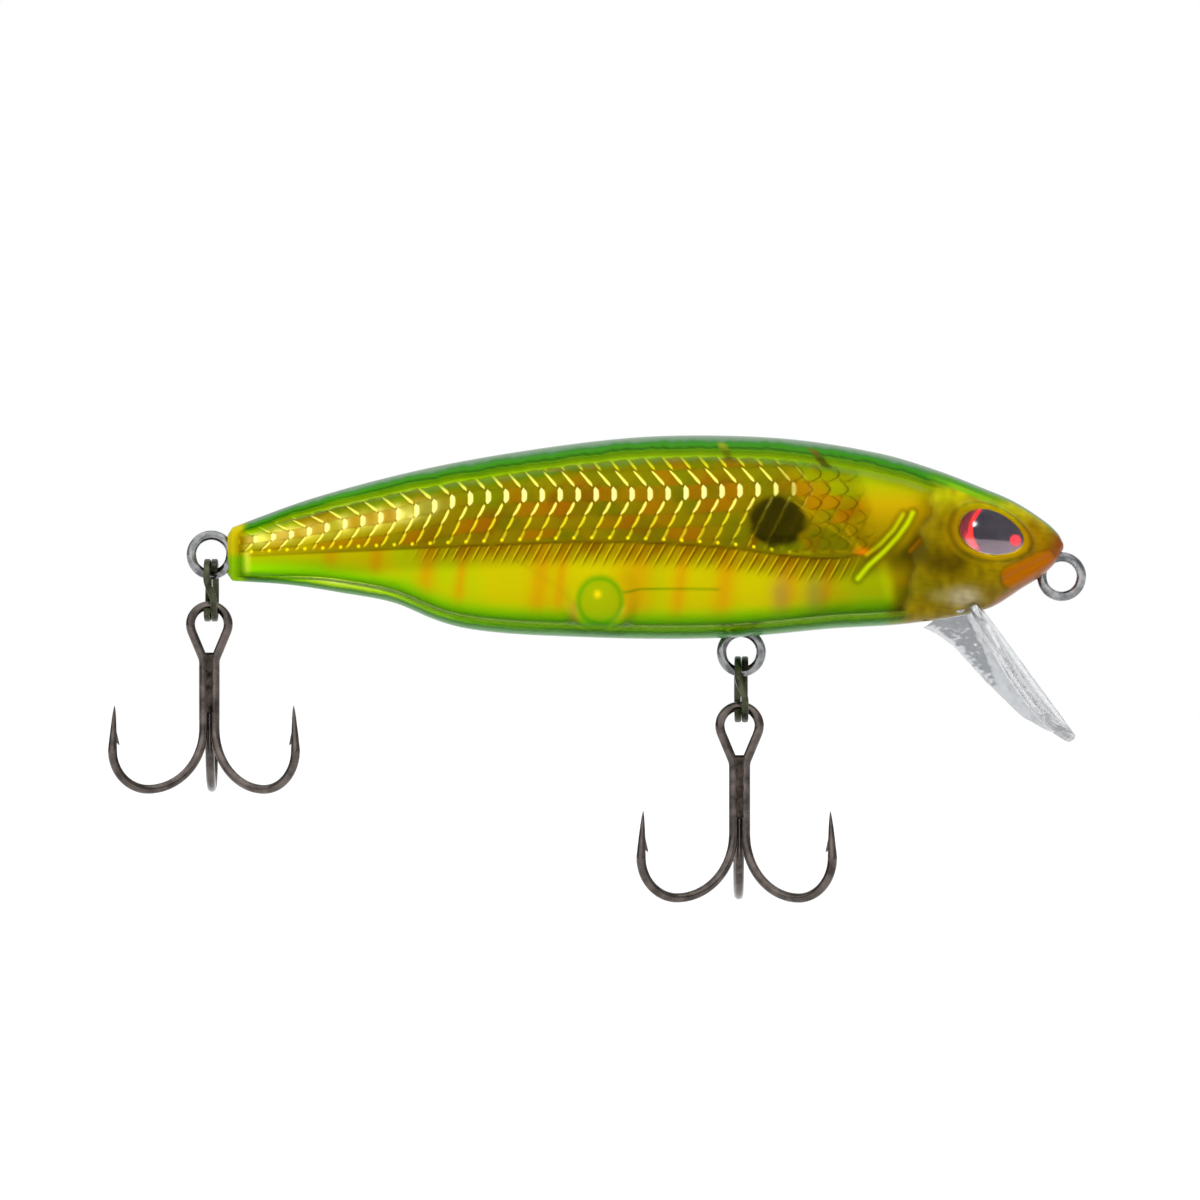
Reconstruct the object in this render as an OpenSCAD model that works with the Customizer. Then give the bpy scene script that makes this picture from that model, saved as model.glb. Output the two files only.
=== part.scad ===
// Deep-diving crankbait lure: a hollow two-part clear body with a scale film inside, a diving lip,
// wire eyes at the nose, belly and tail, and two treble hooks that hang on split rings.
// Millimetres. The origin is the centre of the nose line tie, +X is forward and +Z is up.

/* [Body] */
// Widest width of the body
body_width = 10.8; // [10:0.2:12]
// Wall of each half shell
wall = 1.0; // [0.9:0.05:1.1]
// Thickness of the ribs moulded inside each half
rib = 0.7; // [0.5:0.1:0.9]
// Thickness of the scale film
film = 0.15; // [0.1:0.05:0.2]
// Gap between the film and what is next to it
film_gap = 0.04; // [0.03:0.01:0.06]

/* [Eyes] */
// Radius of the round end of the eye
eye_r = 1.87; // [1.7:0.01:2.0]
// Depth of the eye socket
eye_depth = 0.75; // [0.6:0.05:0.9]
// Thickness of the printed eye disc
disc_t = 0.2; // [0.15:0.05:0.3]
// Height of the clear eye dome above its seat
dome_h = 0.85; // [0.7:0.05:1]

/* [Diving lip] */
// Length of the lip below the chin
lip_length = 13; // [12:0.5:14]
// Widest width of the lip
lip_width = 13.4; // [12:0.2:14]
// Thickness of the lip plate
lip_t = 0.85; // [0.7:0.05:1]
// Thickness of the keel behind the lip plate
keel_t = 1.6; // [1.2:0.1:2]
// Angle of the lip below level
lip_angle = 53.8; // [50:0.1:56]
// Diameter of the cross pin that locks the lip
pin_d = 0.9; // [0.7:0.1:1]

/* [Wire eyes] */
// Diameter of the hanger wire
wire_d = 0.8; // [0.7:0.05:0.8]
// Radius of a hanger's eye, to the middle of the wire
hanger_r = 1.65; // [1.6:0.01:1.7]

/* [Belly tackle] */
// Outside diameter of the belly split ring
belly_ring_d = 5.56; // [5.5:0.02:5.6]
// Size of the belly treble hook against its nominal drawing
belly_hook_size = 1.0; // [0.98:0.01:1.02]

/* [Tail tackle] */
// Outside diameter of the tail split ring
tail_ring_d = 5.26; // [5.2:0.02:5.3]
// Size of the tail treble hook against its nominal drawing
tail_hook_size = 0.96; // [0.94:0.01:0.97]

/* [Inside weights] */
// Diameter of the rattle ball
ball_d = 3.0; // [2.8:0.1:3.1]
// Diameter of the two fixed ballast slugs
slug_d = 2.3; // [2.0:0.1:2.6]

/* [Hidden] */
$fn = 48;

// Outlines of the body along its length: [x, height] of the back, [x, height] of the belly
// and [x, share of the half width].
back_line = [[-69.9, 4.0], [-62.7, 6.6], [-53.7, 8.97], [-44.7, 10.6], [-36, 11.65], [-29, 11.83],
             [-22, 11.45], [-15.1, 10.3], [-10.6, 8.97], [-6.6, 7.43], [-4, 6.3], [-1.43, 4.65],
             [-0.3, 3.6], [0.13, 2.8]];
belly_line = [[-69.9, -0.34], [-64.9, -0.68], [-60.4, -1.36], [-56, -2.2], [-52.6, -3.6],
              [-50.3, -4.28], [-47, -4.73], [-42.5, -5.0], [-35, -5.23], [-28.6, -5.17],
              [-24.1, -4.84], [-19.6, -4.4], [-12.4, -3.9], [-6.2, -2.7], [-3.14, -0.87],
              [-1.7, 0.05], [-0.4, 1.3], [0.13, 2.3]];
width_line = [[-69.9, 0.22], [-62, 0.46], [-52, 0.72], [-42, 0.905], [-32, 0.99], [-24, 1.0],
              [-16, 0.955], [-10, 0.855], [-6, 0.735], [-3, 0.565], [-1.2, 0.385], [-0.3, 0.225],
              [0.13, 0.09]];
tail_x = -69.9;
nose_x = 0.13;
cavity_x = [-66, -2.6];         // the hollow, from tail to nose
body_steps = 36;                // stations along the body
round_steps = 12;               // steps from the back round to the belly
side_power = 0.8;               // fullness of the sides: 1 is an ellipse, less is fuller

// Eye: middle of the round end, and its tip from there
eye_x = -7.0;
eye_z = 3.69;
tip_dx = 2.68;
tip_dz = -0.68;
tip_r = 1.12;
eye_seat_y = 4.0;              // the cheek's half width there
eye_turn = 13;                  // turn of the seat to follow the cheek towards the nose
eye_lean = 12;                  // lean of the seat to follow the cheek towards the back

// Lip: the front of its root at the chin, and its side outline above the plate
chin = [-6.4, -3.0];
lip_dish_r = 19;                // radius of the plate across its width
lip_root_half = 2.2;            // half width of the root inside the head
lip_pin_at = [-8.6, -2.6];

// Hangers: middle of the outer eye and the direction of the inner eye from it
hanger_pitch = 2 * hanger_r + 0.05;
nose_eye = [0, 0];
nose_dir = 141;
belly_eye = [-26.85, -6.34];
belly_dir = 90;
tail_eye = [-71.3, 1.82];
tail_dir = 0;
slot_half = wire_d / 2 + 0.06;  // half width of the slot in which a hanger lies
post_r = 1.05;                  // post that stands in a hanger's inner eye

// Rattle chamber and ballast sockets, across the body
ball_at = [-38.7, -1.74];
chamber_r = ball_d / 2 + 0.15;
chamber_half = 3.3;
slug_at = [[-23.5, -1.3], [-20.6, -1.4]];
slug_half = 3.1;
boss_wall = 0.55;

// Split rings: section and place under their hangers
ring_w = 1.16;                  // both coils together, along X
ring_gap = 0.03;                // between the two coils
ring_t = 0.72;                  // wire height, radially
ring_drop = 1.05;               // ring's inner top below the middle of the hanger eye
belly_ring_z = belly_eye[1] - ring_drop - (belly_ring_d / 2 - ring_t);
tail_ring_z = tail_eye[1] - ring_drop - (tail_ring_d / 2 - ring_t);

// Treble hook at size 1
hook_wire = 0.8;
knuckle = 1.01;                 // a bend's joint is a hair fatter than the wire, so that it closes
hook_eye_r = 1.65;              // to the middle of the wire
shank_x = 0.5;                  // the two wires of the double hook, each side of the axis
third_y = 0.68;                 // the third hook's wire behind them
throat_r = 5.25;                // bend from the shank out to the bottom
point_r = 3.4;                  // bend from the bottom up to the point
spear = 3.9;                    // straight length of the point
point_lean = 3;                 // lean of the point towards the shank
shank_drop = 3.0;               // from the eye's middle to the start of the shank
braze_end = 7.8;                // from the eye's middle to where the wires part
hook_reach = 14.35;             // from the eye's middle to the middle of the lowest wire
splay = [206, -34, 90];         // directions of the three points, seen from above
ring_inner = 1.0;               // ring's inner bottom above the middle of the hook eye
belly_hook_at = [-27.0, belly_ring_z - belly_ring_d / 2 + ring_t - ring_inner];
tail_hook_at = [-71.45, tail_ring_z - tail_ring_d / 2 + ring_t - 0.96];

// ---------- curves ----------
function slope(p, i) =
    let(a = max(i - 1, 0), b = min(i + 1, len(p) - 1)) (p[b][1] - p[a][1]) / (p[b][0] - p[a][0]);
function span(x, p, i = 0) = (i >= len(p) - 2 || x <= p[i + 1][0]) ? i : span(x, p, i + 1);
// Smooth curve through the points p, at x
function curve(x, p) =
    let(i = span(x, p), h = p[i + 1][0] - p[i][0], u = (x - p[i][0]) / h)
    p[i][1] * (1 + 2 * u) * (1 - u) * (1 - u) + h * slope(p, i) * u * (1 - u) * (1 - u)
    + p[i + 1][1] * u * u * (3 - 2 * u) - h * slope(p, i + 1) * u * u * (1 - u);

// Point of the body's surface, moved in by d, at x and at angle t from the back to the belly
function skin(x, t, d) =
    let(top = curve(x, back_line) - d, low = curve(x, belly_line) + d,
        half = max(body_width / 2 * curve(x, width_line) - d, 0.05))
    [x, half * pow(max(sin(t), 0), side_power), (top + low) / 2 + (top - low) / 2 * cos(t)];
// Stations along the body, closer together towards the nose
function stations(a, b, n) = [for (i = [0:n]) a + (b - a) * (1 - pow(1 - i / n, 1.6))];

// Half of the body (y >= 0) moved in by d between stations a and b, with a flat middle face
module half_body(d, a, b, n = body_steps, m = round_steps) {
    xs = stations(a, b, n);
    pts = [for (x = xs) for (j = [0:m]) skin(x, 180 * j / m, d)];
    k = m + 1;
    sides = [for (i = [0:n - 1]) for (j = [0:m - 1])
        each [[i * k + j, i * k + j + 1, (i + 1) * k + j + 1],
              [i * k + j, (i + 1) * k + j + 1, (i + 1) * k + j]]];
    flat = [for (i = [0:n - 1])
        each [[i * k, (i + 1) * k, (i + 1) * k + m], [i * k, (i + 1) * k + m, i * k + m]]];
    polyhedron(pts, concat(sides, flat, [[for (j = [m:-1:0]) j]], [[for (j = [0:m]) n * k + j]]),
               convexity = 6);
}

// ---------- body ----------
// A rib from point p to point q of the side view, from the middle plane outwards
module rib_bar(p, q, t = rib) {
    v = q - p;
    translate([p[0], 6, p[1]]) rotate([90, 0, 0]) rotate([0, 0, atan2(v[1], v[0])])
        translate([0, -t / 2, 0]) cube([norm(v), t, 6]);
}
// A round boss or hole across the body
module across(at, r, y0, y1) {
    translate([at[0], y1, at[1]]) rotate([90, 0, 0]) cylinder(r = r, h = y1 - y0);
}
// What each half has inside: ribs, the rattle chamber's wall, the ballast sockets and the
// blocks that hold the wire hangers. g widens it all, for the cut-outs of the scale film.
module inner_frame(g = 0) {
    t = rib + 2 * g;
    rib_bar([-49.9, 4.0], [-43.7, 0.1], t);
    rib_bar([-43.9, 0.25], [-40.3, -2.0], t);
    rib_bar([-40.9, -2.4], [-40.9, -5.0], t);
    rib_bar([-36.8, -1.07], [-28.8, -1.07], t);
    rib_bar([-29.1, 11.6], [-29.1, 8.6], t);
    rib_bar([-29.1, 9.9], [-22.3, 6.2], t);
    across(ball_at, chamber_r + boss_wall + g, 0, 6);
    for (s = slug_at) across(s, slug_d / 2 + boss_wall + g, 0, 6);
    translate([-29.9 - g, 0, -6]) cube([6.1 + 2 * g, 6, 5.6 + g]);
    // the nose block, round the line tie, and the tail block, round the tail hanger
    translate([-5.4 - g, 0, -1]) cube([6, 6, 5.6 + g]);
    translate([-70, 0, -1]) cube([4.6 + g, 6, 6]);
    // the wall of the eye socket, and the block that holds the lip's root
    eye_frame() translate([0, 0, -5]) linear_extrude(height = 8) eye_outline(boss_wall + g);
    lip_frame() translate([-3.6 - g, 0, -6.2]) cube([5, 6, 6.6 + g]);
}
// The flat slot for a hanger's inner eye and neck, with the post left standing in it
module hanger_slot(at, dir) {
    translate([at[0], 0, at[1]]) rotate([0, -dir, 0]) difference() {
        union() {
            translate([0, -slot_half, -hanger_r - wire_d / 2 - 0.05])
                cube([hanger_pitch, 2 * slot_half, 2 * hanger_r + wire_d + 0.1]);
            across([hanger_pitch, 0], hanger_r + wire_d / 2 + 0.05, -slot_half, slot_half);
        }
        across([hanger_pitch, 0], post_r, -1, 1);
    }
}
module half_shell() {
    difference() {
        union() {
            difference() {
                half_body(0, tail_x, nose_x);
                translate([0, -0.001, 0]) half_body(wall, cavity_x[0], cavity_x[1]);
            }
            intersection() {
                inner_frame();
                half_body(wall / 2, tail_x + 1, nose_x - 1);
            }
        }
        hanger_slot(nose_eye, nose_dir);
        hanger_slot(belly_eye, belly_dir);
        hanger_slot(tail_eye, tail_dir);
        across(ball_at, chamber_r, -1, chamber_half);
        for (s = slug_at) across(s, slug_d / 2, -1, slug_half);
        eye_frame() linear_extrude(height = 3) eye_outline(0);
        lip_root();
        across(lip_pin_at, pin_d / 2, -1, lip_root_half);
    }
}
module left_shell() { color([0.62, 0.72, 0.12, 0.6]) half_shell(); }
module right_shell() { color([0.62, 0.72, 0.12, 0.6]) mirror([0, 1, 0]) half_shell(); }

// ---------- scale film ----------
// A thin sheet that follows the inside of the wall from angle t0 to angle t1, at the same stations
module film_sheet(t0, t1, m) {
    all = stations(cavity_x[0], cavity_x[1], body_steps);
    n = body_steps - 2;
    xs = [for (i = [0:n]) all[i + 1]];
    k = m + 1;
    c = (n + 1) * k;
    grid = function (d) [for (x = xs) for (j = [0:m]) skin(x, t0 + (t1 - t0) * j / m, d)];
    pts = concat(grid(wall + film_gap), grid(wall + film_gap + film));
    quads = function (q, flip) [for (f = q) each flip
        ? [[f[0], f[2], f[1]], [f[0], f[3], f[2]]] : [[f[0], f[1], f[2]], [f[0], f[2], f[3]]]];
    cells = [for (i = [0:n - 1]) for (j = [0:m - 1])
        [i * k + j, i * k + j + 1, (i + 1) * k + j + 1, (i + 1) * k + j]];
    polyhedron(pts, concat(
        quads(cells, false),
        quads([for (f = cells) [for (v = f) v + c]], true),
        quads([for (i = [0:n - 1]) [i * k, (i + 1) * k, (i + 1) * k + c, i * k + c]], false),
        quads([for (i = [0:n - 1]) [i * k + m, (i + 1) * k + m, (i + 1) * k + m + c, i * k + m + c]],
              true),
        quads([for (j = [0:m - 1]) [j, j + 1, j + 1 + c, j + c]], true),
        quads([for (j = [0:m - 1]) [n * k + j, n * k + j + 1, n * k + j + 1 + c, n * k + j + c]],
              false)),
        convexity = 6);
}
module half_film() {
    difference() {
        film_sheet(30, 165, 9);
        inner_frame(film_gap);
    }
}
module left_scale_film() { color([0.80, 0.62, 0.10]) half_film(); }
module right_scale_film() { color([0.80, 0.62, 0.10]) mirror([0, 1, 0]) half_film(); }

// ---------- eyes ----------
// Teardrop outline grown by g: a round end joined to a smaller one
module eye_outline(g) {
    d = norm([tip_dx, tip_dz]);
    a = atan2(tip_dz, tip_dx);
    b = acos((eye_r - tip_r) / d);
    polygon(concat(
        [for (i = [0:24]) let(t = a + b + (360 - 2 * b) * i / 24)
            (eye_r + g) * [cos(t), sin(t)]],
        [for (i = [0:6]) let(t = a - b + 2 * b * i / 6)
            [tip_dx, tip_dz] + (tip_r + g) * [cos(t), sin(t)]]));
}
// Places a shape drawn in the side view on the floor of the left eye socket, growing outwards
module eye_frame() {
    translate([eye_x, eye_seat_y - eye_depth, eye_z]) rotate([eye_lean, 0, 0])
        rotate([0, 0, -eye_turn]) mirror([0, 1, 0]) rotate([90, 0, 0]) children();
}
module eye_disc() { eye_frame() linear_extrude(height = disc_t) eye_outline(-0.02); }
// Dome: rings of the outline that shrink towards a point while they rise
module eye_dome() {
    d = norm([tip_dx, tip_dz]);
    a = atan2(tip_dz, tip_dx);
    b = acos((eye_r - tip_r) / d);
    mid = [1.1, -0.28];
    rim = concat(
        [for (i = [0:19]) let(t = a + b + (360 - 2 * b) * i / 19)
            (eye_r - 0.02) * [cos(t), sin(t)]],
        [for (i = [0:4]) let(t = a - b + 2 * b * i / 4)
            [tip_dx, tip_dz] + (tip_r - 0.02) * [cos(t), sin(t)]]);
    k = len(rim);
    steps = [[1, 0], [1, 0.3], [0.93, 0.62], [0.78, 0.82], [0.55, 0.94], [0.28, 1]];
    pts = concat([for (s = steps) for (p = rim) let(q = mid + (p - mid) * s[0])
        [q[0], q[1], disc_t + (s[1] == 0 ? 0 : dome_h * s[1])]], [[mid[0], mid[1], disc_t + dome_h]]);
    n = len(steps);
    eye_frame() polyhedron(pts, concat(
        [[for (i = [0:k - 1]) i]],
        [for (r = [0:n - 2]) for (i = [0:k - 1]) let(j = (i + 1) % k)
            each [[r * k + i, (r + 1) * k + i, (r + 1) * k + j], [r * k + i, (r + 1) * k + j, r * k + j]]],
        [for (i = [0:k - 1]) [(n - 1) * k + i, n * k, (n - 1) * k + (i + 1) % k]]));
}
module left_eye_disc() { color([0.55, 0.05, 0.04]) eye_disc(); }
module right_eye_disc() { color([0.55, 0.05, 0.04]) mirror([0, 1, 0]) eye_disc(); }
module left_eye_dome() { color([0.9, 0.9, 0.9, 0.3]) eye_dome(); }
module right_eye_dome() { color([0.9, 0.9, 0.9, 0.3]) mirror([0, 1, 0]) eye_dome(); }

// ---------- diving lip ----------
// Half width of the lip plate at distance s from the chin: narrow at the root, round at the end
function lip_half(s) =
    let(u = (s + 2) / (lip_length + 2))
    u < 0.62 ? lip_root_half + (lip_width / 2 - lip_root_half) * (1 - pow(1 - u / 0.62, 2))
             : lip_width / 2 * sqrt(max(1 - pow((u - 0.62) / 0.38, 2), 0));
// Places a shape drawn with X down the lip and Y across it; Z is the front of the plate
module lip_frame() {
    translate([chin[0], 0, chin[1]]) rotate([0, lip_angle, 0]) children();
}
module lip_plate() {
    half = [for (i = [0:40]) let(s = -2 + (lip_length + 2) * (1 - pow(1 - i / 40, 1.5)))
        [s, lip_half(s)]];
    intersection() {
        lip_frame() translate([0, 0, -4]) linear_extrude(height = 6)
            polygon(concat(half, [for (i = [39:-1:0]) [half[i][0], -half[i][1]]]));
        lip_frame() translate([-4, 0, -lip_dish_r]) rotate([0, 90, 0]) difference() {
            cylinder(r = lip_dish_r, h = lip_length + 8, $fn = 96);
            translate([0, 0, -1]) cylinder(r = lip_dish_r - lip_t, h = lip_length + 10, $fn = 96);
        }
    }
}
// The keel behind the plate, in the lip's own side view: [down the lip, behind its front]
keel_line = [[0, -0.3], [lip_length - 1.6, -0.3], [lip_length - 1.2, -0.6], [lip_length - 2.1, -1.77],
             [8.8, -2.7], [4.7, -3.4], [0.7, -3.8], [-1.0, -4.35], [-2.4, -5.1], [-3.2, -4.6],
             [-2.6, -2.2], [-2.1, -0.3]];
module lip_keel(w) {
    lip_frame() translate([0, w / 2, 0]) rotate([90, 0, 0]) linear_extrude(height = w)
        polygon(keel_line);
}
// The part of the lip that sits in the head
module lip_root() {
    lip_plate();
    lip_keel(keel_t);
    lip_frame() translate([-2.2, -lip_root_half, -1.6]) cube([2.2, 2 * lip_root_half, 1.6]);
}
module diving_lip() {
    color([0.86, 0.88, 0.88, 0.5]) difference() {
        lip_root();
        across(lip_pin_at, pin_d / 2, -4, 4);
    }
}
module lip_pin() { color([0.35, 0.35, 0.36]) across(lip_pin_at, pin_d / 2, -lip_root_half, lip_root_half); }

// ---------- hangers ----------
module wire_ring(r, w) { rotate([90, 0, 0]) rotate_extrude($fn = 64) translate([r, 0]) circle(r = w / 2); }
// Figure-of-eight wire: the outer eye at the origin, the inner one along dir
module hanger(at, dir) {
    color([0.80, 0.81, 0.83]) translate([at[0], 0, at[1]]) rotate([0, -dir, 0]) {
        wire_ring(hanger_r, wire_d);
        translate([hanger_pitch, 0, 0]) wire_ring(hanger_r, wire_d);
        translate([hanger_r - 0.25, 0, 0]) rotate([0, 90, 0])
            cylinder(d = wire_d, h = hanger_pitch - 2 * hanger_r + 0.5);
    }
}
module line_tie() { hanger(nose_eye, nose_dir); }
module belly_hanger() { hanger(belly_eye, belly_dir); }
module tail_hanger() { hanger(tail_eye, tail_dir); }

// ---------- weights ----------
module slug(at) { color([0.5, 0.5, 0.52]) across(at, slug_d / 2, -slug_half, slug_half); }
module front_ballast() { slug(slug_at[1]); }
module rear_ballast() { slug(slug_at[0]); }
module rattle_ball() { color([0.7, 0.7, 0.72]) translate([ball_at[0], 0, ball_at[1]]) sphere(d = ball_d); }

// ---------- split rings ----------
// Flat wire wound almost twice round, with the step from coil to coil at the front (-Y)
module split_ring(at_x, at_z, d) {
    w = (ring_w - ring_gap) / 2;
    shift = (ring_w + ring_gap) / 4;
    step = 26;                  // half the angle over which the wire crosses from coil to coil
    n = 92;
    angles = [for (i = [0:n]) 180 + (360 - 2 * step) * (2 * i / n - 1)];
    pts = [for (t = angles) let(u = (t - 180) / step,
            x = shift * (u <= -1 ? -1 : u >= 1 ? 1 : sin(90 * u)))
        each [for (c = [[-w / 2, -ring_t], [w / 2, -ring_t], [w / 2, 0], [-w / 2, 0]])
            [x + c[0], (d / 2 + c[1]) * cos(t), (d / 2 + c[1]) * sin(t)]]];
    color([0.22, 0.22, 0.16]) translate([at_x, 0, at_z]) polyhedron(pts, concat(
        [[3, 2, 1, 0]], [[for (j = [0:3]) n * 4 + j]],
        [for (i = [0:n - 1]) for (j = [0:3]) let(k = (j + 1) % 4)
            each [[i * 4 + j, i * 4 + k, (i + 1) * 4 + k], [i * 4 + j, (i + 1) * 4 + k, (i + 1) * 4 + j]]]),
        convexity = 6);
}
module belly_split_ring() { split_ring(belly_eye[0], belly_ring_z, belly_ring_d); }
module tail_split_ring() { split_ring(tail_eye[0], tail_ring_z, tail_ring_d); }

// ---------- treble hooks ----------
// One bend: from the shank at start out along dir, up and into its barbed point
module hook_arm(start, dir, out) {
    r = hook_wire / 2;
    translate([start[0], start[1], 0]) rotate([0, 0, dir]) {
        translate([0, 0, -hook_reach + out]) sphere(r = r * knuckle);
        translate([out, 0, -hook_reach + out]) rotate([90, 0, 0]) rotate([0, 0, 180])
            rotate_extrude(angle = 90) translate([out, 0]) circle(r = r, $fn = 32);
        translate([out, 0, -hook_reach + point_r]) rotate([90, 0, 0])
            rotate([0, 0, 270]) rotate_extrude(angle = 90) translate([point_r, 0]) circle(r = r, $fn = 32);
        translate([out + point_r, 0, -hook_reach + point_r]) rotate([0, -point_lean, 0]) {
            sphere(r = r);
            cylinder(r1 = r, r2 = 0.03, h = spear);
            translate([-0.1, 0, 0.9]) rotate([0, -28, 0]) cylinder(r1 = 0.04, r2 = 0.24, h = 0.9);
        }
    }
}
module shank(at, z0, z1) { translate([at[0], at[1], z0]) cylinder(r = hook_wire / 2, h = z1 - z0); }
module double_hook() {
    r = hook_wire / 2;
    d = norm([shank_x, shank_drop]);
    a = atan2(-shank_drop, shank_x) + acos(hook_eye_r / d);
    side = sqrt(d * d - hook_eye_r * hook_eye_r);
    // the eye's round part, then a straight side down to each shank
    rotate([90, 0, 0]) rotate([0, 0, a]) rotate_extrude(angle = 180 - 2 * a)
        translate([hook_eye_r, 0]) circle(r = r, $fn = 32);
    for (s = [0, 1]) mirror([s, 0, 0]) {
        translate([hook_eye_r * cos(a), 0, hook_eye_r * sin(a)]) rotate([0, 180 - a, 0]) {
            sphere(r = r * knuckle);
            cylinder(r = r, h = side);
        }
        translate([shank_x, 0, -shank_drop]) sphere(r = r * knuckle);
        shank([shank_x, 0], -hook_reach + throat_r, -shank_drop);
    }
    hook_arm([-shank_x, 0], splay[0], throat_r);
    hook_arm([shank_x, 0], splay[1], throat_r);
}
module third_hook() {
    shank([0, third_y], -hook_reach + throat_r, -shank_drop - 0.2);
    hook_arm([0, third_y], splay[2], throat_r);
}
// Solder that fills the valleys between the three shanks
module braze() {
    r = hook_wire / 2;
    difference() {
        translate([0, 0, -braze_end]) linear_extrude(height = braze_end - shank_drop - 0.1)
            polygon([[-shank_x, -0.3], [shank_x, -0.3], [shank_x + 0.3, 0.12], [0.3, third_y + 0.12],
                     [-0.3, third_y + 0.12], [-shank_x - 0.3, 0.12]]);
        for (p = [[-shank_x, 0], [shank_x, 0], [0, third_y]])
            translate([p[0], p[1], -braze_end - 1]) cylinder(r = r, h = braze_end + 1);
    }
}
module place_hook(at, size) {
    color([0.33, 0.31, 0.30]) translate([at[0], 0, at[1]]) scale(size) children();
}
module belly_double_hook() { place_hook(belly_hook_at, belly_hook_size) double_hook(); }
module belly_third_hook() { place_hook(belly_hook_at, belly_hook_size) third_hook(); }
module belly_hook_braze() { place_hook(belly_hook_at, belly_hook_size) braze(); }
module tail_double_hook() { place_hook(tail_hook_at, tail_hook_size) double_hook(); }
module tail_third_hook() { place_hook(tail_hook_at, tail_hook_size) third_hook(); }
module tail_hook_braze() { place_hook(tail_hook_at, tail_hook_size) braze(); }

left_shell();
right_shell();
left_scale_film();
right_scale_film();
left_eye_disc();
right_eye_disc();
left_eye_dome();
right_eye_dome();
diving_lip();
lip_pin();
line_tie();
belly_hanger();
tail_hanger();
front_ballast();
rear_ballast();
rattle_ball();
belly_split_ring();
belly_double_hook();
belly_third_hook();
belly_hook_braze();
tail_split_ring();
tail_double_hook();
tail_third_hook();
tail_hook_braze();
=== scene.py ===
"""A deep-diving crankbait: clear tinted body over a pressed scale film, clear lip, trebles on split rings.

Lengths below are millimetres in the lure's own frame: +X forward, +Y to the fish's left, +Z up, with the
origin in the middle of the nose line tie. Meshes are written in metres.
"""
from __future__ import annotations

import logging
import math
from dataclasses import dataclass
from enum import Enum
from typing import Callable, Sequence

import bmesh
import bpy
import numpy as np
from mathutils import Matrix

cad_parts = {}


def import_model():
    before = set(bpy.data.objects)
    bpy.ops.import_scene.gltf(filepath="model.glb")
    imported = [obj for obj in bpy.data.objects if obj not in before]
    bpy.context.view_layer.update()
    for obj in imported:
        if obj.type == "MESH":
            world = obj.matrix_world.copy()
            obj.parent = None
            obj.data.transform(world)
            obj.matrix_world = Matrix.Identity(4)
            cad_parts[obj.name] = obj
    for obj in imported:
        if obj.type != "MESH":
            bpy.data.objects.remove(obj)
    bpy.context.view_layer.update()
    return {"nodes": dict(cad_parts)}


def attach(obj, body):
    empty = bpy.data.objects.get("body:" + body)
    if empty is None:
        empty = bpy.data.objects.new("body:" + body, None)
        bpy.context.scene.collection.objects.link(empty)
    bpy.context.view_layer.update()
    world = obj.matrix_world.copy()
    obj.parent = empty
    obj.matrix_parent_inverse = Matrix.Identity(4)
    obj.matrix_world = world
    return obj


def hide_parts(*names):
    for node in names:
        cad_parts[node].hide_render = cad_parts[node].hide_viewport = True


LOG = logging.getLogger("crankbait")
MM = 0.001
SCALE_PITCH = 1.5
Array = np.ndarray


class Side(Enum):
    """The fish's own left and right; the value is the sign of Y."""

    LEFT = 1
    RIGHT = -1


# ---------------------------------------------------------------- colour and shader helpers


def linear(hex_code: str) -> tuple[float, float, float, float]:
    """Turns an sRGB hex colour into linear light.

    Args:
        hex_code: such as "#C8A010".

    Returns:
        Linear red, green and blue, and an alpha of 1.
    """
    parts = [int(hex_code[i : i + 2], 16) / 255 for i in (1, 3, 5)]
    lin = [c / 12.92 if c <= 0.04045 else ((c + 0.055) / 1.055) ** 2.4 for c in parts]
    return lin[0], lin[1], lin[2], 1.0


def tone(hex_code: str) -> Array:
    """The same colour as a numpy row of three, for colours worked out per point."""
    return np.array(linear(hex_code)[:3])


def add_node(tree: bpy.types.NodeTree, kind: str, settings: dict | None = None,
             **inputs: object) -> bpy.types.Node:
    """Adds a shader node.

    Args:
        tree: the material's or world's node tree.
        kind: the node's type name.
        settings: attributes of the node to set.
        inputs: socket values, or output sockets to link; underscores stand for spaces, and a
            name such as i0 means the socket of that number.

    Returns:
        The new node.
    """
    node = tree.nodes.new(kind)
    for name, value in (settings or {}).items():
        setattr(node, name, value)
    for name, value in inputs.items():
        by_number = name[0] == "i" and name[1:].isdigit()
        socket = node.inputs[int(name[1:]) if by_number else name.replace("_", " ")]
        if isinstance(value, bpy.types.NodeSocket):
            tree.links.new(value, socket)
        else:
            socket.default_value = value
    return node


def new_material(name: str) -> tuple[bpy.types.Material, bpy.types.NodeTree, bpy.types.Node]:
    """Starts a material.

    Args:
        name: the real material's name.

    Returns:
        The material, its node tree and its output node.
    """
    material = bpy.data.materials.new(name)
    material.use_nodes = True
    tree = material.node_tree
    tree.nodes.clear()
    return material, tree, tree.nodes.new("ShaderNodeOutputMaterial")


def follow(tree: bpy.types.NodeTree, known: dict, steps: Sequence[tuple]) -> dict:
    """Lays out steps of arithmetic as nodes.

    Args:
        tree: the material's node tree.
        known: sockets by name, to start from.
        steps: (name, operation, values...) where a value is a number or an earlier name, and a last
            value of "CLAMP" keeps the result between 0 and 1.

    Returns:
        The sockets by name, with each step's result added.
    """
    known = dict(known)
    for name, operation, *values in steps:
        clamp = values[-1] == "CLAMP"
        values = values[:-1] if clamp else values
        inputs = {f"i{k}": known[v] if isinstance(v, str) else v for k, v in enumerate(values)}
        node = add_node(tree, "ShaderNodeMath", {"operation": operation, "use_clamp": clamp}, **inputs)
        known[name] = node.outputs[0]
    return known


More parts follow.
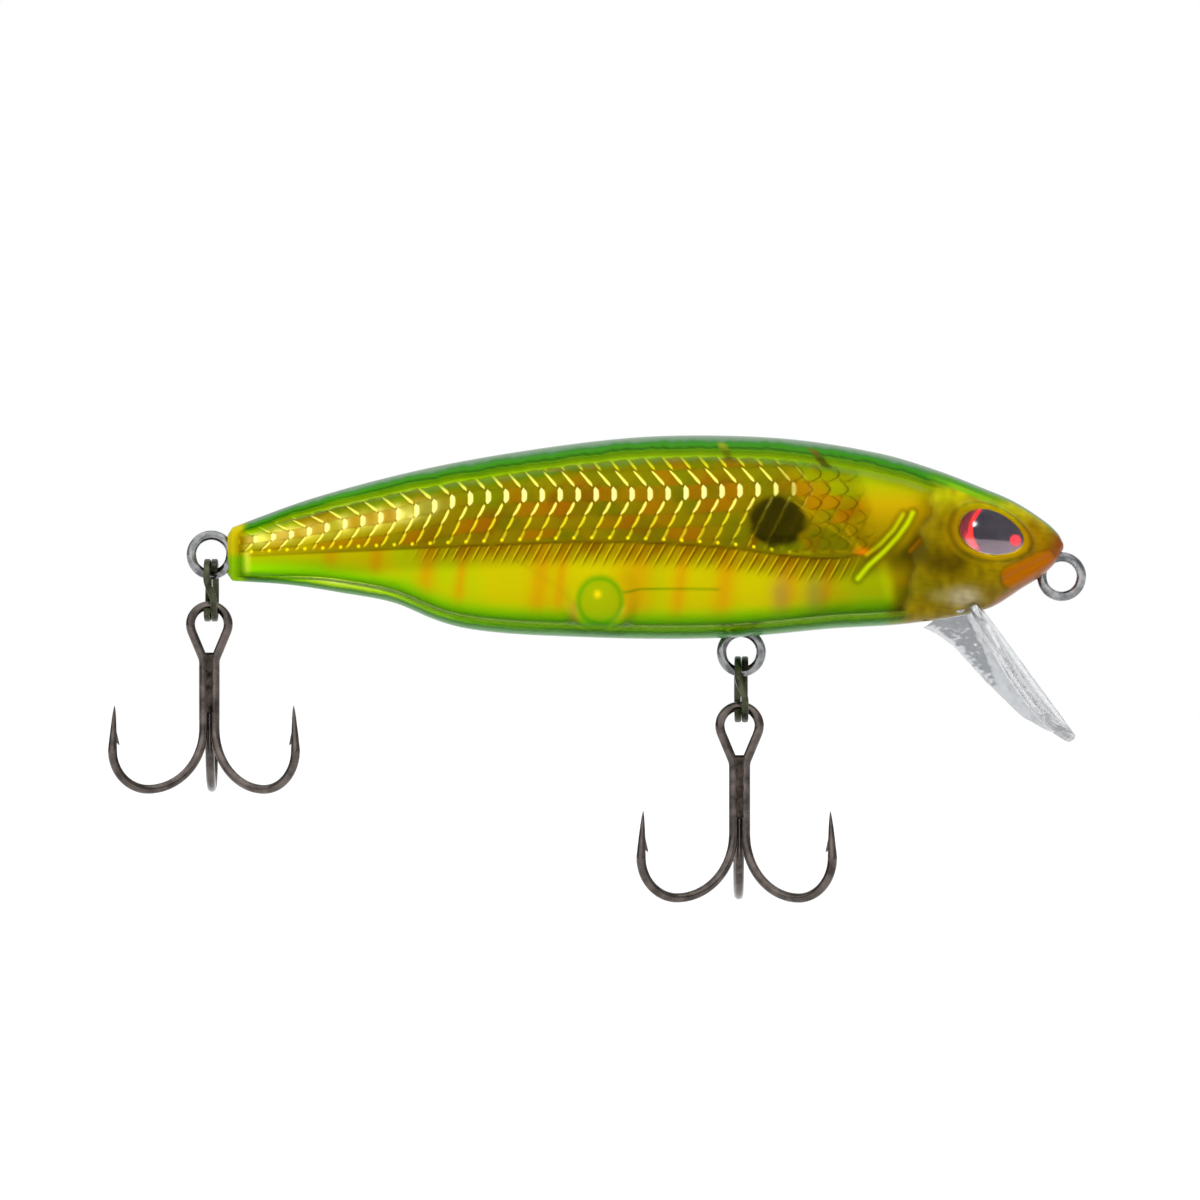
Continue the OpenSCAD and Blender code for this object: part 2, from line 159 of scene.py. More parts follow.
def object_noise(tree: bpy.types.NodeTree, size_mm: float, detail: float = 3.0) -> bpy.types.Node:
    """Noise on Object coordinates.

    Args:
        tree: the material's node tree.
        size_mm: the blotches' rough width.
        detail: how many finer layers are added.

    Returns:
        The noise node.
    """
    place = add_node(tree, "ShaderNodeTexCoord")
    return add_node(tree, "ShaderNodeTexNoise", Vector=place.outputs["Object"],
                    Scale=1 / (size_mm * MM), Detail=detail, Roughness=0.55)


# ---------------------------------------------------------------- finishes


@dataclass(frozen=True)
class ClearShellFinish:
    """Injection-moulded clear ABS with a sprayed candy tint: glossy, see-through, deeper at the edges."""

    name: str = "moulded clear ABS, candy tint"
    roughness: float = 0.02
    ior: float = 1.16
    gloss: str = "#FFE24A"

    def build(self) -> bpy.types.Material:
        """The tint is stored on the mesh, because it follows the fish's outline; alpha is clearness."""
        material, tree, out = new_material(self.name)
        tint = add_node(tree, "ShaderNodeAttribute", {"attribute_name": "tint"})
        ripple = object_noise(tree, 9.0, 1.0)
        bump = add_node(tree, "ShaderNodeBump", Strength=0.06, Distance=0.0004,
                        Height=ripple.outputs["Fac"])
        shader = add_node(tree, "ShaderNodeBsdfPrincipled", Base_Color=tint.outputs["Color"],
                          Roughness=self.roughness, IOR=self.ior, Specular_Tint=linear(self.gloss),
                          Transmission_Weight=tint.outputs["Alpha"], Normal=bump.outputs["Normal"])
        tree.links.new(shader.outputs[0], out.inputs["Surface"])
        return material


@dataclass(frozen=True)
class ScaleFilmFinish:
    """Metallised polyester film, pressed into scales: gold lacquer over aluminium, soft mirror.

    Scales are pitch mm apart, ribs rib_pitch mm, and the film's own wrinkles wrinkle_mm.

    The scales are worked out where the light meets the film, from two things stored on the mesh: the
    lacquer's colour, and the marks (rows above the ridge, how strong the scales and the ribs are, and
    how far below the lateral line the point is). The scales' lit ends and white glints are painted
    highlights, with painted shade just before each end, and the ribs have a painted lit side and a
    painted shaded side.
    """

    name: str = "metallised polyester film, gold lacquer"
    roughness: float = 0.42
    metallic: float = 0.25
    gloss: str = "#F8C818"
    wrinkle_mm: float = 0.35
    pitch: float = SCALE_PITCH
    rib_pitch: float = 0.86

    def steps(self) -> tuple[tuple, ...]:
        """The scales as steps of arithmetic: a name, an operation and what it works on.

        The scales' ends make chains that bulge forward on the ridge. With v from -0.5 to 0.5 up a row,
        a row's stretch of its chain lies at x / pitch + shift |row| + slope v + v^2 / 4, where shift is
        0.53 above the ridge and 0.385 below it, and slope is 0.75 above and -0.42 below; there is an
        end wherever that sum is a whole number. A stretch is widest at its middle, most on the ridge.
        Each stretch is a painted highlight (ink, bright and white), with painted shade (dark) just before
        it; rib_light and rib_dark are the ribs' painted lit and shaded sides.
        """
        return (
            ("row", "ROUND", "level"), ("v", "SUBTRACT", "level", "row"), ("vv", "MULTIPLY", "v", "v"),
            ("size", "ABSOLUTE", "row"), ("half0", "MULTIPLY", "size", 0.4575),
            ("half_row", "MULTIPLY_ADD", "row", 0.0725, "half0"),
            ("up", "MINIMUM", "row", 1.0), ("way", "MAXIMUM", "up", -1.0), ("off", "ABSOLUTE", "way"),
            ("slope0", "MULTIPLY", "off", 0.165), ("slope", "MULTIPLY_ADD", "way", 0.585, "slope0"),
            ("lean0", "MULTIPLY_ADD", "v", "slope", "half_row"),
            ("arc", "MULTIPLY_ADD", "vv", 0.25, "lean0"),
            ("chain", "MULTIPLY_ADD", "x", 1 / self.pitch, "arc"), ("cell", "FRACT", "chain"),
            ("number", "FLOOR", "chain"),
            ("edge", "PINGPONG", "chain", 0.5), ("edge_mm", "MULTIPLY", "edge", self.pitch),
            ("near", "SUBTRACT", 1.0, "size", "CLAMP"),
            ("wide0", "MULTIPLY_ADD", "near", 0.05, 0.14),
            ("thin", "MULTIPLY_ADD", "vv", -5.6, 1.45, "CLAMP"),
            ("wide", "MULTIPLY", "wide0", "thin"),
            # ink is a painted highlight along each scale's end; bright carries it, and white is its painted white
            # glint near the ridge
            ("far", "DIVIDE", "edge_mm", "wide"), ("ink", "SUBTRACT", 1.4, "far", "CLAMP"),
            ("fade", "MULTIPLY_ADD", "size", -0.22, 1.1, "CLAMP"),
            ("bright0", "MULTIPLY", "ink", "fade"), ("bright1", "MULTIPLY", "bright0", "scales"),
            ("bright", "MULTIPLY", "bright1", "flash"),
            ("white0", "MULTIPLY_ADD", "size", -0.6, 1.0, "CLAMP"),
            ("white", "MULTIPLY", "bright", "white0"),
            # dark is painted shade on each scale just before its lit end
            ("before", "SUBTRACT", "cell", 0.76), ("dark0", "MULTIPLY", "before", 6.0, "CLAMP"),
            ("dark1", "SUBTRACT", "dark0", "ink", "CLAMP"), ("dark", "MULTIPLY", "dark1", "scales"),
            ("hem0", "MULTIPLY_ADD", "vv", 9.0, -1.55, "CLAMP"), ("hem", "MULTIPLY", "hem0", "scales"),
            ("stagger", "MULTIPLY", "row", 0.5), ("arc2", "MULTIPLY_ADD", "vv", 2.0, "stagger"),
            ("chain2", "MULTIPLY_ADD", "x", 1 / self.pitch, "arc2"), ("edge2", "PINGPONG", "chain2", 0.5),
            ("quiet", "SUBTRACT", 1.0, "flash"), ("line0", "MULTIPLY_ADD", "edge2", -13.0, 1.2, "CLAMP"),
            ("line1", "MULTIPLY", "line0", "quiet"), ("outline", "MULTIPLY", "line1", "scales"),
            # below the lateral line, rib_light is each rib's painted lit side and rib_dark its painted shaded side
            ("lean", "MULTIPLY_ADD", "drop", 0.55, "x"), ("rib", "DIVIDE", "lean", self.rib_pitch),
            ("rib_cell", "FRACT", "rib"), ("rl0", "SUBTRACT", "rib_cell", 0.38), ("rl1", "ABSOLUTE", "rl0"),
            ("rl2", "MULTIPLY_ADD", "rl1", -8.0, 1.0, "CLAMP"), ("rib_light", "MULTIPLY", "rl2", "ribs"),
            ("rd0", "SUBTRACT", "rib_cell", 0.60), ("rd1", "ABSOLUTE", "rd0"),
            ("rd2", "MULTIPLY_ADD", "rd1", -6.5, 1.0, "CLAMP"), ("rib_dark", "MULTIPLY", "rd2", "ribs"),
            ("dot_c", "MULTIPLY_ADD", "x", 1 / self.pitch, 0.25), ("dot_p", "PINGPONG", "dot_c", 0.5),
            ("dot_x", "MULTIPLY", "dot_p", self.pitch), ("dot_z", "ADD", "drop", 0.30),
            ("dot_xx", "MULTIPLY", "dot_x", "dot_x"), ("dot_r", "MULTIPLY_ADD", "dot_z", "dot_z", "dot_xx"),
            ("dot0", "MULTIPLY_ADD", "dot_r", -34.0, 1.2, "CLAMP"), ("dot", "MULTIPLY", "dot0", "flash"),
            ("crown0", "MULTIPLY_ADD", "vv", -4.0, 1.0), ("crown1", "MULTIPLY", "cell", "cell"),
            ("crown2", "MULTIPLY", "crown0", "crown1"), ("crown", "MULTIPLY", "crown2", "scales"),
            ("press0", "MULTIPLY_ADD", "bright", 0.5, "crown"),
            ("press1", "SUBTRACT", "rib_light", "rib_dark"),
            ("press", "MULTIPLY_ADD", "press1", 0.5, "press0"),
        )

    def build(self) -> bpy.types.Material:
        """Lacquer, scale outlines, painted highlights on the scales' ends with painted shade before them,
        ribs with painted lit and shaded sides, and dots, over a pressed and wrinkled relief.
        """
        material, tree, out = new_material(self.name)
        lacquer = add_node(tree, "ShaderNodeAttribute", {"attribute_name": "lacquer"})
        marks = add_node(tree, "ShaderNodeAttribute", {"attribute_name": "marks"})
        split = add_node(tree, "ShaderNodeSeparateColor", Color=marks.outputs["Color"])
        place = add_node(tree, "ShaderNodeTexCoord")
        axes = add_node(tree, "ShaderNodeSeparateXYZ", Vector=place.outputs["Object"])
        x_mm = add_node(tree, "ShaderNodeMath", {"operation": "DIVIDE"}, i0=axes.outputs["X"], i1=MM)
        # flash is 1 behind x = -27 mm and 0 in front of -20.5 mm: where the painted highlights and the dots show
        flash = add_node(tree, "ShaderNodeMapRange", {"interpolation_type": "SMOOTHSTEP"},
                         Value=x_mm.outputs[0], i1=-20.5, i2=-27.0)
        known = {"x": x_mm.outputs[0], "level": split.outputs[0], "scales": split.outputs[1],
                 "ribs": split.outputs[2], "drop": marks.outputs["Alpha"], "flash": flash.outputs[0]}
        known = follow(tree, known, self.steps())
        which = add_node(tree, "ShaderNodeCombineXYZ", X=known["number"], Y=known["row"])
        chance = add_node(tree, "ShaderNodeTexWhiteNoise", {"noise_dimensions": "3D"},
                          Vector=which.outputs[0])
        toss = add_node(tree, "ShaderNodeMath", {"operation": "MULTIPLY"}, i0=chance.outputs["Value"],
                        i1=known["scales"])
        rust = add_node(tree, "ShaderNodeMapRange", Value=toss.outputs[0], i1=0.66, i2=0.8)
        olive = add_node(tree, "ShaderNodeMapRange", Value=toss.outputs[0], i1=0.5, i2=0.2)
        olive2 = add_node(tree, "ShaderNodeMath", {"operation": "MULTIPLY"}, i0=olive.outputs[0],
                          i1=known["scales"])
        colour = lacquer.outputs["Color"]
        # dark and rib_dark are painted shade; rib_light, bright and white are painted highlights
        for share, code, strength in (
            (rust.outputs[0], "#9A5A02", 0.55), (olive2.outputs[0], "#6E6E04", 0.45),
            (known["hem"], "#6E5602", 0.35), (known["dark"], "#5A3E02", 0.6),
            (known["outline"], "#4A3802", 0.75), (known["rib_dark"], "#5A3A00", 0.85),
            (known["rib_light"], "#F0D018", 0.6), (known["bright"], "#FFF03A", 1.0),
            (known["white"], "#FFFFF0", 1.0), (known["dot"], "#FFEC20", 0.85),
        ):
            amount = add_node(tree, "ShaderNodeMath", {"operation": "MULTIPLY", "use_clamp": True}, i0=share,
                              i1=strength)
            colour = add_node(tree, "ShaderNodeMix", {"data_type": "RGBA"}, i0=amount.outputs[0], i6=colour,
                              i7=linear(code)).outputs[2]
        wrinkle = object_noise(tree, self.wrinkle_mm, 4.0)
        crease = add_node(tree, "ShaderNodeBump", Strength=0.3, Distance=0.00006,
                          Height=wrinkle.outputs["Fac"])
        pressed = add_node(tree, "ShaderNodeBump", Strength=0.55, Distance=0.00016, Height=known["press"],
                           Normal=crease.outputs["Normal"])
        shader = add_node(tree, "ShaderNodeBsdfPrincipled", Base_Color=colour, Metallic=self.metallic,
                          Roughness=self.roughness, Specular_Tint=linear(self.gloss),
                          Specular_IOR_Level=0.06, Normal=pressed.outputs["Normal"])
        tree.links.new(shader.outputs[0], out.inputs["Surface"])
        return material


@dataclass(frozen=True)
class ClearResinFinish:
    """Clear cast resin or polycarbonate: glass-like, with faint flow marks."""

    name: str
    colour: str
    roughness: float
    ior: float
    mark_mm: float = 2.0
    mark_depth: float = 0.1
    gloss: str = "#FFFFFF"

    def build(self) -> bpy.types.Material:
        """Full transmission with a weak low bump for the flow marks."""
        material, tree, out = new_material(self.name)
        marks = object_noise(tree, self.mark_mm, 2.0)
        bump = add_node(tree, "ShaderNodeBump", Strength=self.mark_depth, Distance=0.0003,
                        Height=marks.outputs["Fac"])
        shader = add_node(tree, "ShaderNodeBsdfPrincipled", Base_Color=linear(self.colour),
                          Roughness=self.roughness, IOR=self.ior, Transmission_Weight=1.0,
                          Specular_Tint=linear(self.gloss), Normal=bump.outputs["Normal"])
        tree.links.new(shader.outputs[0], out.inputs["Surface"])
        return material


@dataclass(frozen=True)
class WireFinish:
    """Drawn or plated wire: a metal whose roughness and tone drift in patches of patch_mm.

    Real draw marks are near 0.01 mm; they are drawn 0.12 mm apart, as fine as shows.
    """

    name: str
    light: str
    dark: str
    roughness: tuple[float, float]
    patch_mm: float = 1.2
    coat: float = 0.0

    def build(self) -> bpy.types.Material:
        """Noise blotches blend the two tones and the two roughnesses."""
        material, tree, out = new_material(self.name)
        patch = object_noise(tree, self.patch_mm, 5.0)
        ramp = add_node(tree, "ShaderNodeMapRange", i1=0.35, i2=0.65,
                        Value=patch.outputs["Fac"])
        mix = add_node(tree, "ShaderNodeMix", {"data_type": "RGBA"}, i0=ramp.outputs[0],
                       i6=linear(self.dark), i7=linear(self.light))
        rough = add_node(tree, "ShaderNodeMapRange", Value=patch.outputs["Fac"], i1=0.3, i2=0.7,
                         i3=self.roughness[0], i4=self.roughness[1])
        grain = object_noise(tree, 0.12, 2.0)
        bump = add_node(tree, "ShaderNodeBump", Strength=0.12, Distance=0.00002,
                        Height=grain.outputs["Fac"])
        shader = add_node(tree, "ShaderNodeBsdfPrincipled", Base_Color=mix.outputs[2], Metallic=1.0,
                          Roughness=rough.outputs[0], Coat_Weight=self.coat,
                          Normal=bump.outputs["Normal"])
        tree.links.new(shader.outputs[0], out.inputs["Surface"])
        return material


@dataclass(frozen=True)
class PrintedEyeFinish:
    """Printed foil disc: ink colours stored on the mesh under a gloss varnish, grain 0.1 mm."""

    name: str = "printed foil, gloss varnish"

    def build(self) -> bpy.types.Material:
        """Ink colour from the mesh, with a fine print grain in its roughness."""
        material, tree, out = new_material(self.name)
        ink = add_node(tree, "ShaderNodeAttribute", {"attribute_name": "ink"})
        grain = object_noise(tree, 0.1, 2.0)
        rough = add_node(tree, "ShaderNodeMapRange", Value=grain.outputs["Fac"], i3=0.12, i4=0.3)
        shader = add_node(tree, "ShaderNodeBsdfPrincipled", Base_Color=ink.outputs["Color"],
                          Roughness=rough.outputs[0], Specular_IOR_Level=0.08)
        tree.links.new(shader.outputs[0], out.inputs["Surface"])
        return material


# Bright drawn stainless steel: a grey mirror, softly streaked, that shows the lamps as white lines.
BRIGHT_WIRE = WireFinish("drawn stainless wire, bright", "#A6A6A6", "#5E5F61", (0.10, 0.24))
# Black nickel over steel: a dark brown-grey shine under a thin clear coat.
BLACK_NICKEL = WireFinish("black nickel plated wire", "#6A605A", "#3E3733", (0.14, 0.3), coat=0.3)
# Braze flowed between the shanks and plated with them: darker and duller, with pooled patches.
DARK_BRAZE = WireFinish("braze under black nickel", "#4A423C", "#15110F", (0.2, 0.45), patch_mm=0.7)
# Plated flat spring wire: a low olive sheen, nearly black in the shade.
OLIVE_RING = WireFinish("plated flat spring wire, olive black", "#5A5C46", "#26281C", (0.25, 0.5))
# Plain turned tungsten: warm grey and satin.
WEIGHT_METAL = WireFinish("plain turned tungsten", "#A8A3A0", "#7A7572", (0.25, 0.5))
# Moulded polycarbonate: clear with a soft haze and flow marks about 1 mm apart.
LIP_PLASTIC = ClearResinFinish("moulded clear polycarbonate", "#E8E9EA", 0.16, 1.45, 1.2, 0.35)
# Poured resin: a smooth clear dome that deepens the print and carries one small bright glint.
EYE_RESIN = ClearResinFinish("poured clear resin dome", "#FFFFFF", 0.0, 1.33, 3.0, 0.02, "#5A5A5A")


# ---------------------------------------------------------------- mesh helpers


def mesh_object(name: str, points: Array, faces: list | Array, sharp_deg: float = 40.0,
                closed: bool = True) -> bpy.types.Object:
    """Makes a smooth-shaded object from points in millimetres.

    Args:
        name: the object's name.
        points: (n, 3) array in millimetres.
        faces: (m, 4) or (m, 3) array, or a list of index lists.
        sharp_deg: edges that bend more than this stay sharp.
        closed: True for a closed surface, whose faces are then turned outwards.

    Returns:
        The linked object at the origin.
    """
    mesh = bpy.data.meshes.new(name)
    polygons = faces.tolist() if isinstance(faces, np.ndarray) else faces
    mesh.from_pydata((points * MM).tolist(), [], polygons)
    mesh.validate()
    mesh.shade_smooth()
    mesh.set_sharp_from_angle(angle=math.radians(sharp_deg))
    obj = bpy.data.objects.new(name, mesh)
    bpy.context.scene.collection.objects.link(obj)
    if closed:
        outward(obj)
    return obj


def grid_faces(nu: int, nv: int, wrap_u: bool = False, wrap_v: bool = False, start: int = 0,
               flip: bool = False) -> Array:
    """Quads of a grid of points stored row by row: corner (i, j) is point i * nv + j.

    Args:
        nu: rows of points.
        nv: points in a row.
        wrap_u: True joins the last row to the first.
        wrap_v: True joins each row's end to its start.
        start: the number of the grid's first point.
        flip: True turns the faces over.

    Returns:
        (m, 4) point numbers.
    """
    i = np.arange(nu if wrap_u else nu - 1)
    j = np.arange(nv if wrap_v else nv - 1)
    a, b = np.meshgrid(i, j, indexing="ij")
    a2, b2 = (a + 1) % nu, (b + 1) % nv
    quads = np.stack([a * nv + b, a2 * nv + b, a2 * nv + b2, a * nv + b2], -1).reshape(-1, 4) + start
    return quads[:, ::-1] if flip else quads


def thin_sheet(front: Array, back: Array) -> tuple[Array, Array]:
    """Closes two grids of one size with a strip of quads that runs round both their edges.

    Args:
        front: (n, m, 3) points that face out.
        back: (n, m, 3) points behind them.

    Returns:
        The points, the front's first, and the faces.
    """
    n, m = front.shape[:2]
    count = n * m
    rim = np.concatenate([np.arange(m), np.arange(1, n) * m + m - 1,
                          (n - 1) * m + np.arange(m - 2, -1, -1), np.arange(n - 2, 0, -1) * m])
    after = np.roll(rim, -1)
    edges = np.stack([rim, after, after + count, rim + count], 1)
    faces = np.concatenate([grid_faces(n, m), grid_faces(n, m, start=count, flip=True), edges])
    return np.concatenate([front.reshape(-1, 3), back.reshape(-1, 3)]), faces


def swept_tube(path: Array, radius: Array | float, sides: int = 20, closed: bool = False,
               section: Array | None = None, normal: Array | None = None) -> tuple[Array, list]:
    """Carries a section along a path.

    The frame at each point is the path's direction, a fixed reference made square to it, and their
    cross product; a point of the tube is path + radius * (cos * side + sin * up).

    Args:
        path: (n, 3) points in order.
        radius: one radius or one for each point.
        sides: points round the section.
        closed: True joins the end to the start.
        section: (m, 2) outline to carry in place of a circle, in units of radius.
        normal: the reference direction at every point, (3,) or (n, 3).

    Returns:
        The points and the faces, with flat caps on an open tube.
    """
    n = len(path)
    if closed:
        ahead = np.roll(path, -1, 0) - np.roll(path, 1, 0)
    else:
        ahead = np.gradient(path, axis=0)
    ahead /= np.linalg.norm(ahead, axis=1, keepdims=True)
    ref = np.broadcast_to(np.array([0.0, 1.0, 0.0]) if normal is None else normal, (n, 3))
    side = ref - ahead * np.sum(ref * ahead, 1, keepdims=True)
    side /= np.linalg.norm(side, axis=1, keepdims=True)
    up = np.cross(ahead, side)
    if section is None:
        turn = np.linspace(0, 2 * np.pi, sides, endpoint=False)
        section = np.stack([np.cos(turn), np.sin(turn)], 1)
    m = len(section)
    scale = np.broadcast_to(np.asarray(radius, float), (n,))[:, None, None]
    points = path[:, None] + scale * (section[None, :, :1] * side[:, None]
                                      + section[None, :, 1:] * up[:, None])
    faces = grid_faces(n, m, wrap_u=closed, wrap_v=True, flip=True).tolist()
    if not closed:
        faces.append(list(range(m)))
        faces.append([(n - 1) * m + k for k in range(m)][::-1])
    return points.reshape(-1, 3), faces


def merged(parts: Sequence[tuple[Array, list]]) -> tuple[Array, list]:
    """Joins several meshes into one.

    Args:
        parts: each one's points and faces.

    Returns:
        All the points, and the faces renumbered to match.
    """
    points, faces, start = [], [], 0
    for p, f in parts:
        points.append(p)
        faces += [[v + start for v in face] for face in f]
        start += len(p)
    return np.concatenate(points), faces


def outward(obj: bpy.types.Object) -> None:
    """Turns every face of a closed mesh to point outwards."""
    work = bmesh.new()
    work.from_mesh(obj.data)
    bmesh.ops.recalc_face_normals(work, faces=work.faces)
    work.to_mesh(obj.data)
    work.free()


def arc(centre: Sequence[float], radius: float, start: float, end: float, count: int) -> Array:
    """Points of an arc in a plane: centre + radius * (cos, sin).

    Args:
        centre: its middle.
        radius: its radius.
        start: its first angle in degrees.
        end: its last angle in degrees.
        count: how many points.

    Returns:
        (count, 2) points.
    """
    t = np.radians(np.linspace(start, end, count))
    return np.stack([centre[0] + radius * np.cos(t), centre[1] + radius * np.sin(t)], 1)


def even_path(points: Array, step: float) -> tuple[Array, Array]:
    """Respaces a path evenly, by linear steps along its length.

    Args:
        points: (n, 3) points in order; repeated ones are dropped.
        step: the spacing wanted.

    Returns:
        The new points, and the distance along the path of each.
    """
    gaps = np.linalg.norm(np.diff(points, axis=0), axis=1)
    keep = np.concatenate([[True], gaps > 1e-6])
    points = points[keep]
    run = np.concatenate([[0], np.cumsum(np.linalg.norm(np.diff(points, axis=0), axis=1))])
    s = np.linspace(0, run[-1], max(int(run[-1] / step), 8))
    return np.stack([np.interp(s, run, points[:, k]) for k in range(3)], 1), s


def smooth(edge0: float | Array, edge1: float | Array, x: Array) -> Array:
    """Rises from 0 at edge0 to 1 at edge1 as 3 t^2 - 2 t^3; edge1 may be the lower one."""
    t = np.clip((x - edge0) / (edge1 - edge0), 0, 1)
    return t * t * (3 - 2 * t)


def blotches(x: Array, z: Array, size: float, seed: int) -> Array:
    """Smooth noise: a sum of seven slanted sine waves with seeded angles, lengths and phases.

    Args:
        x: place along the fish.
        z: height.
        size: the blotches' rough width.
        seed: the same seed gives the same noise.

    Returns:
        Values from -1 to 1 at the points.
    """
    rng = np.random.default_rng(seed)
    total = np.zeros_like(x)
    for _ in range(7):
        angle, phase = rng.uniform(0, 2 * np.pi, 2)
        pitch = size * rng.uniform(0.7, 1.6)
        total += np.sin(2 * np.pi * (x * np.cos(angle) + z * np.sin(angle)) / pitch + phase)
    return np.clip(total / 3.2, -1, 1)


def put(obj: bpy.types.Object, finish: object, body: str, slot: str, *nodes: str) -> bpy.types.Object:
    """Gives a piece its finish and says which body it rides on and what it stands for.

    Clear pieces let the lamps straight through to what is under them.

    Args:
        obj: the piece.
        finish: one of the finishes above.
        body: the body that it moves with.
        slot: the name meant for its material's slot; not used.
        nodes: the frame's nodes that it replaces.

    Returns:
        The piece.
    """
    if isinstance(finish, (ClearShellFinish, ClearResinFinish)):
        obj.visible_shadow = False
    obj.data.materials.clear()
    obj.data.materials.append(material_of(finish))
    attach(obj, body)
    if nodes:
        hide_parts(*nodes)
    LOG.info("%s: %d faces on %s", obj.name, len(obj.data.polygons), body)
    return obj


_MATERIALS: dict[object, bpy.types.Material] = {}


def material_of(finish: object) -> bpy.types.Material:
    """The finish's material, built once."""
    if finish not in _MATERIALS:
        _MATERIALS[finish] = finish.build()
    return _MATERIALS[finish]


def paint(obj: bpy.types.Object, name: str, colours: Array) -> None:
    """Stores one linear colour per point, (n, 3) or (n, 4), as a named attribute."""
    if colours.shape[1] == 3:
        colours = np.concatenate([colours, np.ones((len(colours), 1))], 1)
    layer = obj.data.color_attributes.new(name=name, type="FLOAT_COLOR", domain="POINT")
    layer.data.foreach_set("color", colours.astype(np.float32).ravel())


# ---------------------------------------------------------------- the fish's form


def spline(x: Array, points: Sequence[Sequence[float]]) -> Array:
    """Smooth curve through points: cubic pieces whose slope at each point joins its neighbours.

    Args:
        x: where to read the curve.
        points: (x, value) pairs with x rising.

    Returns:
        The curve's value at x.
    """
    p = np.array(points, float)
    n = len(p)
    before, after = np.maximum(np.arange(n) - 1, 0), np.minimum(np.arange(n) + 1, n - 1)
    slope = (p[after, 1] - p[before, 1]) / (p[after, 0] - p[before, 0])
    i = np.clip(np.searchsorted(p[:, 0], x, side="left") - 1, 0, n - 2)
    h = p[i + 1, 0] - p[i, 0]
    u = np.clip((x - p[i, 0]) / h, 0, 1)
    return (p[i, 1] * (1 + 2 * u) * (1 - u) ** 2 + h * slope[i] * u * (1 - u) ** 2
            + p[i + 1, 1] * u * u * (3 - 2 * u) - h * slope[i + 1] * u * u * (1 - u))


@dataclass(frozen=True)
class FishForm:
    """The body's outlines: the back, the belly and the half width along X."""

    tail: float = -69.9
    nose: float = 0.13
    half: float = 5.4
    side_power: float = 0.8
    wall: float = 1.0
    back: tuple = ((-69.9, 4.0), (-62.7, 6.6), (-53.7, 8.97), (-44.7, 10.6), (-36, 11.65), (-29, 11.83),
                   (-22, 11.45), (-15.1, 10.3), (-10.6, 8.97), (-6.6, 7.43), (-4, 6.3), (-1.43, 4.65),
                   (-0.3, 3.6), (0.13, 2.8))
    belly: tuple = ((-69.9, -0.34), (-64.9, -0.68), (-60.4, -1.36), (-56, -2.2), (-52.6, -3.6),
                    (-50.3, -4.28), (-47, -4.73), (-42.5, -5.0), (-35, -5.23), (-28.6, -5.17),
                    (-24.1, -4.84), (-19.6, -4.4), (-12.4, -3.9), (-6.2, -2.7), (-3.14, -0.87),
                    (-1.7, 0.05), (-0.4, 1.3), (0.13, 2.3))
    width: tuple = ((-69.9, 0.22), (-62, 0.46), (-52, 0.72), (-42, 0.905), (-32, 0.99), (-24, 1.0),
                    (-16, 0.955), (-10, 0.855), (-6, 0.735), (-3, 0.565), (-1.2, 0.385), (-0.3, 0.225),
                    (0.13, 0.09))

    def wall_at(self, x: Array) -> Array:
        """Wall thickness: full along the body, thinning to under a third of it at the tail."""
        return self.wall * (0.3 + 0.7 * smooth(-68.5, -60.0, x))

    def skin(self, x: Array, turn: Array, inset: Array | float) -> Array:
        """Points of the left skin moved in by inset.

        A section's height is its middle plus half its height times cos(turn), and its half width
        times sin(turn) to the power side_power is Y.

        Args:
            x: stations along the body.
            turn: angle from the back (0) round to the belly (pi).
            inset: distance in from the outer skin.

        Returns:
            An array of points with the shape of x and turn, and a last axis of 3.
        """
        top = spline(x, self.back) - inset
        low = spline(x, self.belly) + inset
        half = np.maximum(self.half * spline(x, self.width) - inset, 0.05)
        y = half * np.clip(np.sin(turn), 0, None) ** self.side_power
        return np.stack([x, y, (top + low) / 2 + (top - low) / 2 * np.cos(turn)], -1)


